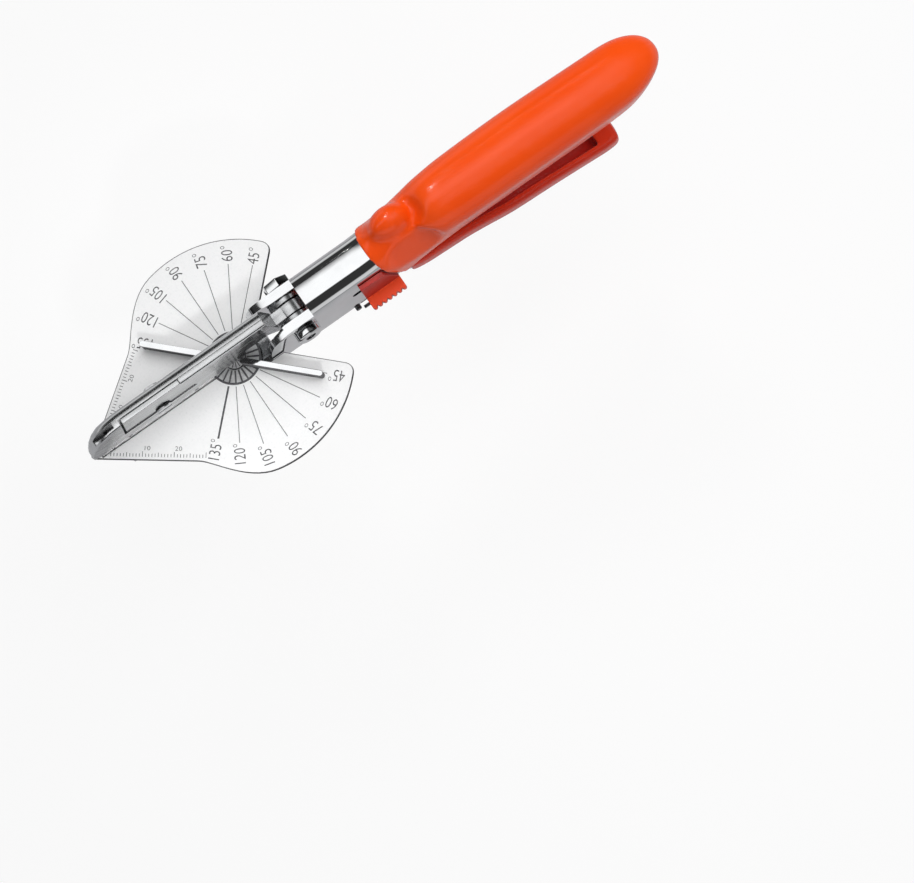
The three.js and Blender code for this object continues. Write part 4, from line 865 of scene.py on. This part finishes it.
def makeTurntableDetails(v):
    # painted shade: dark strips on the floors of the disc's grooves
    fan = drawSpokes(
        "turntableGrooveShade", v["grooves"], v["grooveFrom"], v["grooveTo"], v["grooveWidth"],
        v["grooveFloor"], v["grooveShadeThickness"])
    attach(fan, "fence")
    # painted shade: dark spokes on the screw head for the shade of its serrations
    head = drawSpokes(
        "screwSerrationShade", v["serrations"], v["serrationFrom"], v["serrationTo"],
        v["serrationWidth"], v["screwTop"], v["serrationShadeThickness"])
    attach(head, "frame")
    # painted shade: a dark ring in the gap between the disc and the plate
    clearSelection()
    bpy.ops.mesh.primitive_circle_add(
        vertices=96, radius=(v["gapShadeRadius"] - v["gapShadeWidth"] / 2) * mm,
        location=(0, 0, v["gapShadeLow"] * mm))
    gapShade = bpy.context.object
    gapShade.name = "turntableGapShade"
    fixPlace(gapShade)
    bpy.ops.object.mode_set(mode="EDIT")
    bpy.ops.mesh.select_all(action="SELECT")
    bpy.ops.mesh.extrude_region_move(
        TRANSFORM_OT_translate={"value": (0, 0, (v["gapShadeTop"] - v["gapShadeLow"]) * mm)})
    bpy.ops.mesh.select_all(action="SELECT")
    bpy.ops.mesh.normals_make_consistent(inside=False)
    bpy.ops.object.mode_set(mode="OBJECT")
    useModifier(gapShade, "SOLIDIFY", thickness=v["gapShadeWidth"] * mm, offset=1)
    pickUp(gapShade)
    bpy.ops.object.shade_smooth_by_angle(angle=math.radians(40))
    gapShade.data.materials.append(finishes["inkAndPaintedShade"])
    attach(gapShade, "frame")


makeTurntableDetails(turntableValues)
print("turntable detailed")


# Floor: pale paper, so low that the open lower handle clears it
floorValues = {
    # mirrored: the floor's colour in reflections, darker as painted shade
    "low": 0.0725, "size": 6, "colour": (0.9, 0.9, 0.9, 1), "mirrored": (0.56, 0.56, 0.57, 1),
    "roughness": 0.9, "specular": 0.1, "glowShare": 0.85,
}


def makeFloor(v):
    clearSelection()
    bpy.ops.mesh.primitive_plane_add(size=v["size"], location=(0, 0, -v["low"]))
    floor = bpy.context.object
    floor.name = "studioFloor"
    paper = bpy.data.materials.new("palePaper")
    paper.use_nodes = True
    nodes, links = paper.node_tree.nodes, paper.node_tree.links
    shader = nodes["Principled BSDF"]
    shader.inputs["Base Color"].default_value = v["colour"]
    shader.inputs["Roughness"].default_value = v["roughness"]
    shader.inputs["Specular IOR Level"].default_value = v["specular"]
    glow = nodes.new("ShaderNodeEmission")
    glow.inputs["Strength"].default_value = 1
    mix = nodes.new("ShaderNodeMixShader")
    rays = nodes.new("ShaderNodeLightPath")
    share = nodes.new("ShaderNodeMath")
    share.operation = "MULTIPLY"
    share.inputs[1].default_value = v["glowShare"]
    # painted shade: reflections show the floor darker, as if shaded near the tool
    mirrorShade = nodes.new("ShaderNodeMix")
    mirrorShade.data_type = "RGBA"
    mirrorShade.inputs["A"].default_value = v["colour"]
    mirrorShade.inputs["B"].default_value = v["mirrored"]
    links.new(rays.outputs["Is Glossy Ray"], mirrorShade.inputs["Factor"])
    links.new(mirrorShade.outputs["Result"], shader.inputs["Base Color"])
    links.new(rays.outputs["Is Camera Ray"], share.inputs[0])
    links.new(share.outputs["Value"], mix.inputs["Fac"])
    links.new(shader.outputs["BSDF"], mix.inputs[1])
    links.new(glow.outputs["Emission"], mix.inputs[2])
    links.new(mix.outputs["Shader"], nodes["Material Output"].inputs["Surface"])
    floor.data.materials.append(paper)
    return floor


# Surroundings: white for the camera, plain for diffuse light, soft boxes and dark gaps for mirrors
skyValues = {
    "plain": (0.39, 0.39, 0.395, 1),
    "bands": [  # degrees from straight up towards the left, level
        (-90, 0.6), (-63, 0.58), (-55, 0.03), (3, 0.03), (8, 1), (18, 1), (21, 0.03),
        (63, 0.03), (73, 0.55), (90, 0.6)],
    # how strong the boxes are along the tool: direction's x from and to, strength from and to
    "rear": (0.03, 0.22, 1.24, 0.12), "tip": (-0.95, -0.88, 0.12, 1.24),
}


def makeSky(v):
    world = bpy.data.worlds.new("studio")
    bpy.context.scene.world = world
    world.use_nodes = True
    nodes, links = world.node_tree.nodes, world.node_tree.links
    plain = nodes["Background"]
    plain.inputs["Color"].default_value = v["plain"]
    way = nodes.new("ShaderNodeTexCoord")
    parts = nodes.new("ShaderNodeSeparateXYZ")
    angle = nodes.new("ShaderNodeMath")
    angle.operation = "ARCTAN2"
    spread = spreadValues(nodes, -math.pi / 2, math.pi / 2, 0, 1)
    ramp = nodes.new("ShaderNodeValToRGB")
    while len(ramp.color_ramp.elements) < len(v["bands"]):
        ramp.color_ramp.elements.new(0.5)
    for element, (degrees, level) in zip(ramp.color_ramp.elements, v["bands"]):
        element.position = (degrees + 90) / 180
        element.color = (level, level, level, 1)
    boxes = nodes.new("ShaderNodeBackground")
    links.new(way.outputs["Generated"], parts.inputs["Vector"])
    links.new(parts.outputs["Y"], angle.inputs[0])
    links.new(parts.outputs["Z"], angle.inputs[1])
    links.new(angle.outputs["Value"], spread.inputs["Value"])
    links.new(spread.outputs["Result"], ramp.inputs["Fac"])
    links.new(ramp.outputs["Color"], boxes.inputs["Color"])
    rear, tip = spreadValues(nodes, *v["rear"]), spreadValues(nodes, *v["tip"])
    level = nodes.new("ShaderNodeMath")
    level.operation = "MINIMUM"
    links.new(parts.outputs["X"], rear.inputs["Value"])
    links.new(parts.outputs["X"], tip.inputs["Value"])
    links.new(rear.outputs["Result"], level.inputs[0])
    links.new(tip.outputs["Result"], level.inputs[1])
    links.new(level.outputs["Value"], boxes.inputs["Strength"])
    white = nodes.new("ShaderNodeBackground")
    white.inputs["Color"].default_value = (1, 1, 1, 1)
    rays = nodes.new("ShaderNodeLightPath")
    glossy = nodes.new("ShaderNodeMixShader")
    camera = nodes.new("ShaderNodeMixShader")
    links.new(rays.outputs["Is Glossy Ray"], glossy.inputs["Fac"])
    links.new(plain.outputs["Background"], glossy.inputs[1])
    links.new(boxes.outputs["Background"], glossy.inputs[2])
    links.new(rays.outputs["Is Camera Ray"], camera.inputs["Fac"])
    links.new(glossy.outputs["Shader"], camera.inputs[1])
    links.new(white.outputs["Background"], camera.inputs[2])
    links.new(camera.outputs["Shader"], nodes["World Output"].inputs["Surface"])


# Lamps: place, aim, power, size, then the cone of a spot and whether mirrors or matt parts see it
lampValues = {
    "topBox": {"place": (0.38, 0.02, 0.78), "aim": (0.05, 0, 0), "power": 4.2, "size": 0.7},
    "gripSpot": {
        "place": (0.28, 0.6, 0.6), "aim": (0.12, 0, 0.01), "power": 11, "size": 0.3, "cone": 17},
    "plateFill": {
        "place": (-0.1, -0.5, 0.6), "aim": (-0.018, -0.02, 0), "power": 11, "size": 0.1, "cone": 9},
    "glint": {
        "place": (0.06, 0.5, 0.85), "aim": (0.063, 0.002, 0.03), "power": 12, "size": 0.03,
        "cone": 1.8, "mirrored": True, "matt": False},
}


def makeLamp(name, place, aim, power, size, cone=0, mirrored=False, matt=True):
    lamp = bpy.data.lights.new(name, "SPOT" if cone else "AREA")
    lamp.energy = power
    if cone:
        lamp.shadow_soft_size = size / 2
        lamp.spot_size = math.radians(cone)
        lamp.spot_blend = 0.7
    else:
        lamp.size = size
    holder = bpy.data.objects.new(name, lamp)
    bpy.context.scene.collection.objects.link(holder)
    holder.location = place
    holder.rotation_euler = (Vector(aim) - Vector(place)).to_track_quat("-Z", "Y").to_euler()
    holder.visible_glossy = mirrored
    holder.visible_diffuse = matt
    return holder


# Camera: at the photograph's viewing angle
cameraValues = {
    "lens": 100, "sensor": 36, "place": (0.05, -0.20348, 0.76589),
    "right": (0.81898, -0.56239, -0.11399), "up": (0.57373, 0.80624, 0.14425),
    "back": (0.01078, -0.18353, 0.98295),
}


def makeCamera(v):
    lens = bpy.data.cameras.new("photoCamera")
    lens.lens = v["lens"]
    lens.sensor_width = v["sensor"]
    lens.sensor_fit = "HORIZONTAL"
    lens.clip_start = 0.01
    lens.clip_end = 20
    holder = bpy.data.objects.new("photoCamera", lens)
    bpy.context.scene.collection.objects.link(holder)
    turn = Matrix((v["right"], v["up"], v["back"])).transposed()
    holder.matrix_world = Matrix.Translation(v["place"]) @ turn.to_4x4()
    bpy.context.scene.camera = holder
    return holder


makeFloor(floorValues)
makeSky(skyValues)
for lampName, lampSettings in lampValues.items():
    makeLamp(lampName, **lampSettings)
makeCamera(cameraValues)
bpy.context.scene.view_settings.view_transform = "Standard"
print("floor, light and camera set")
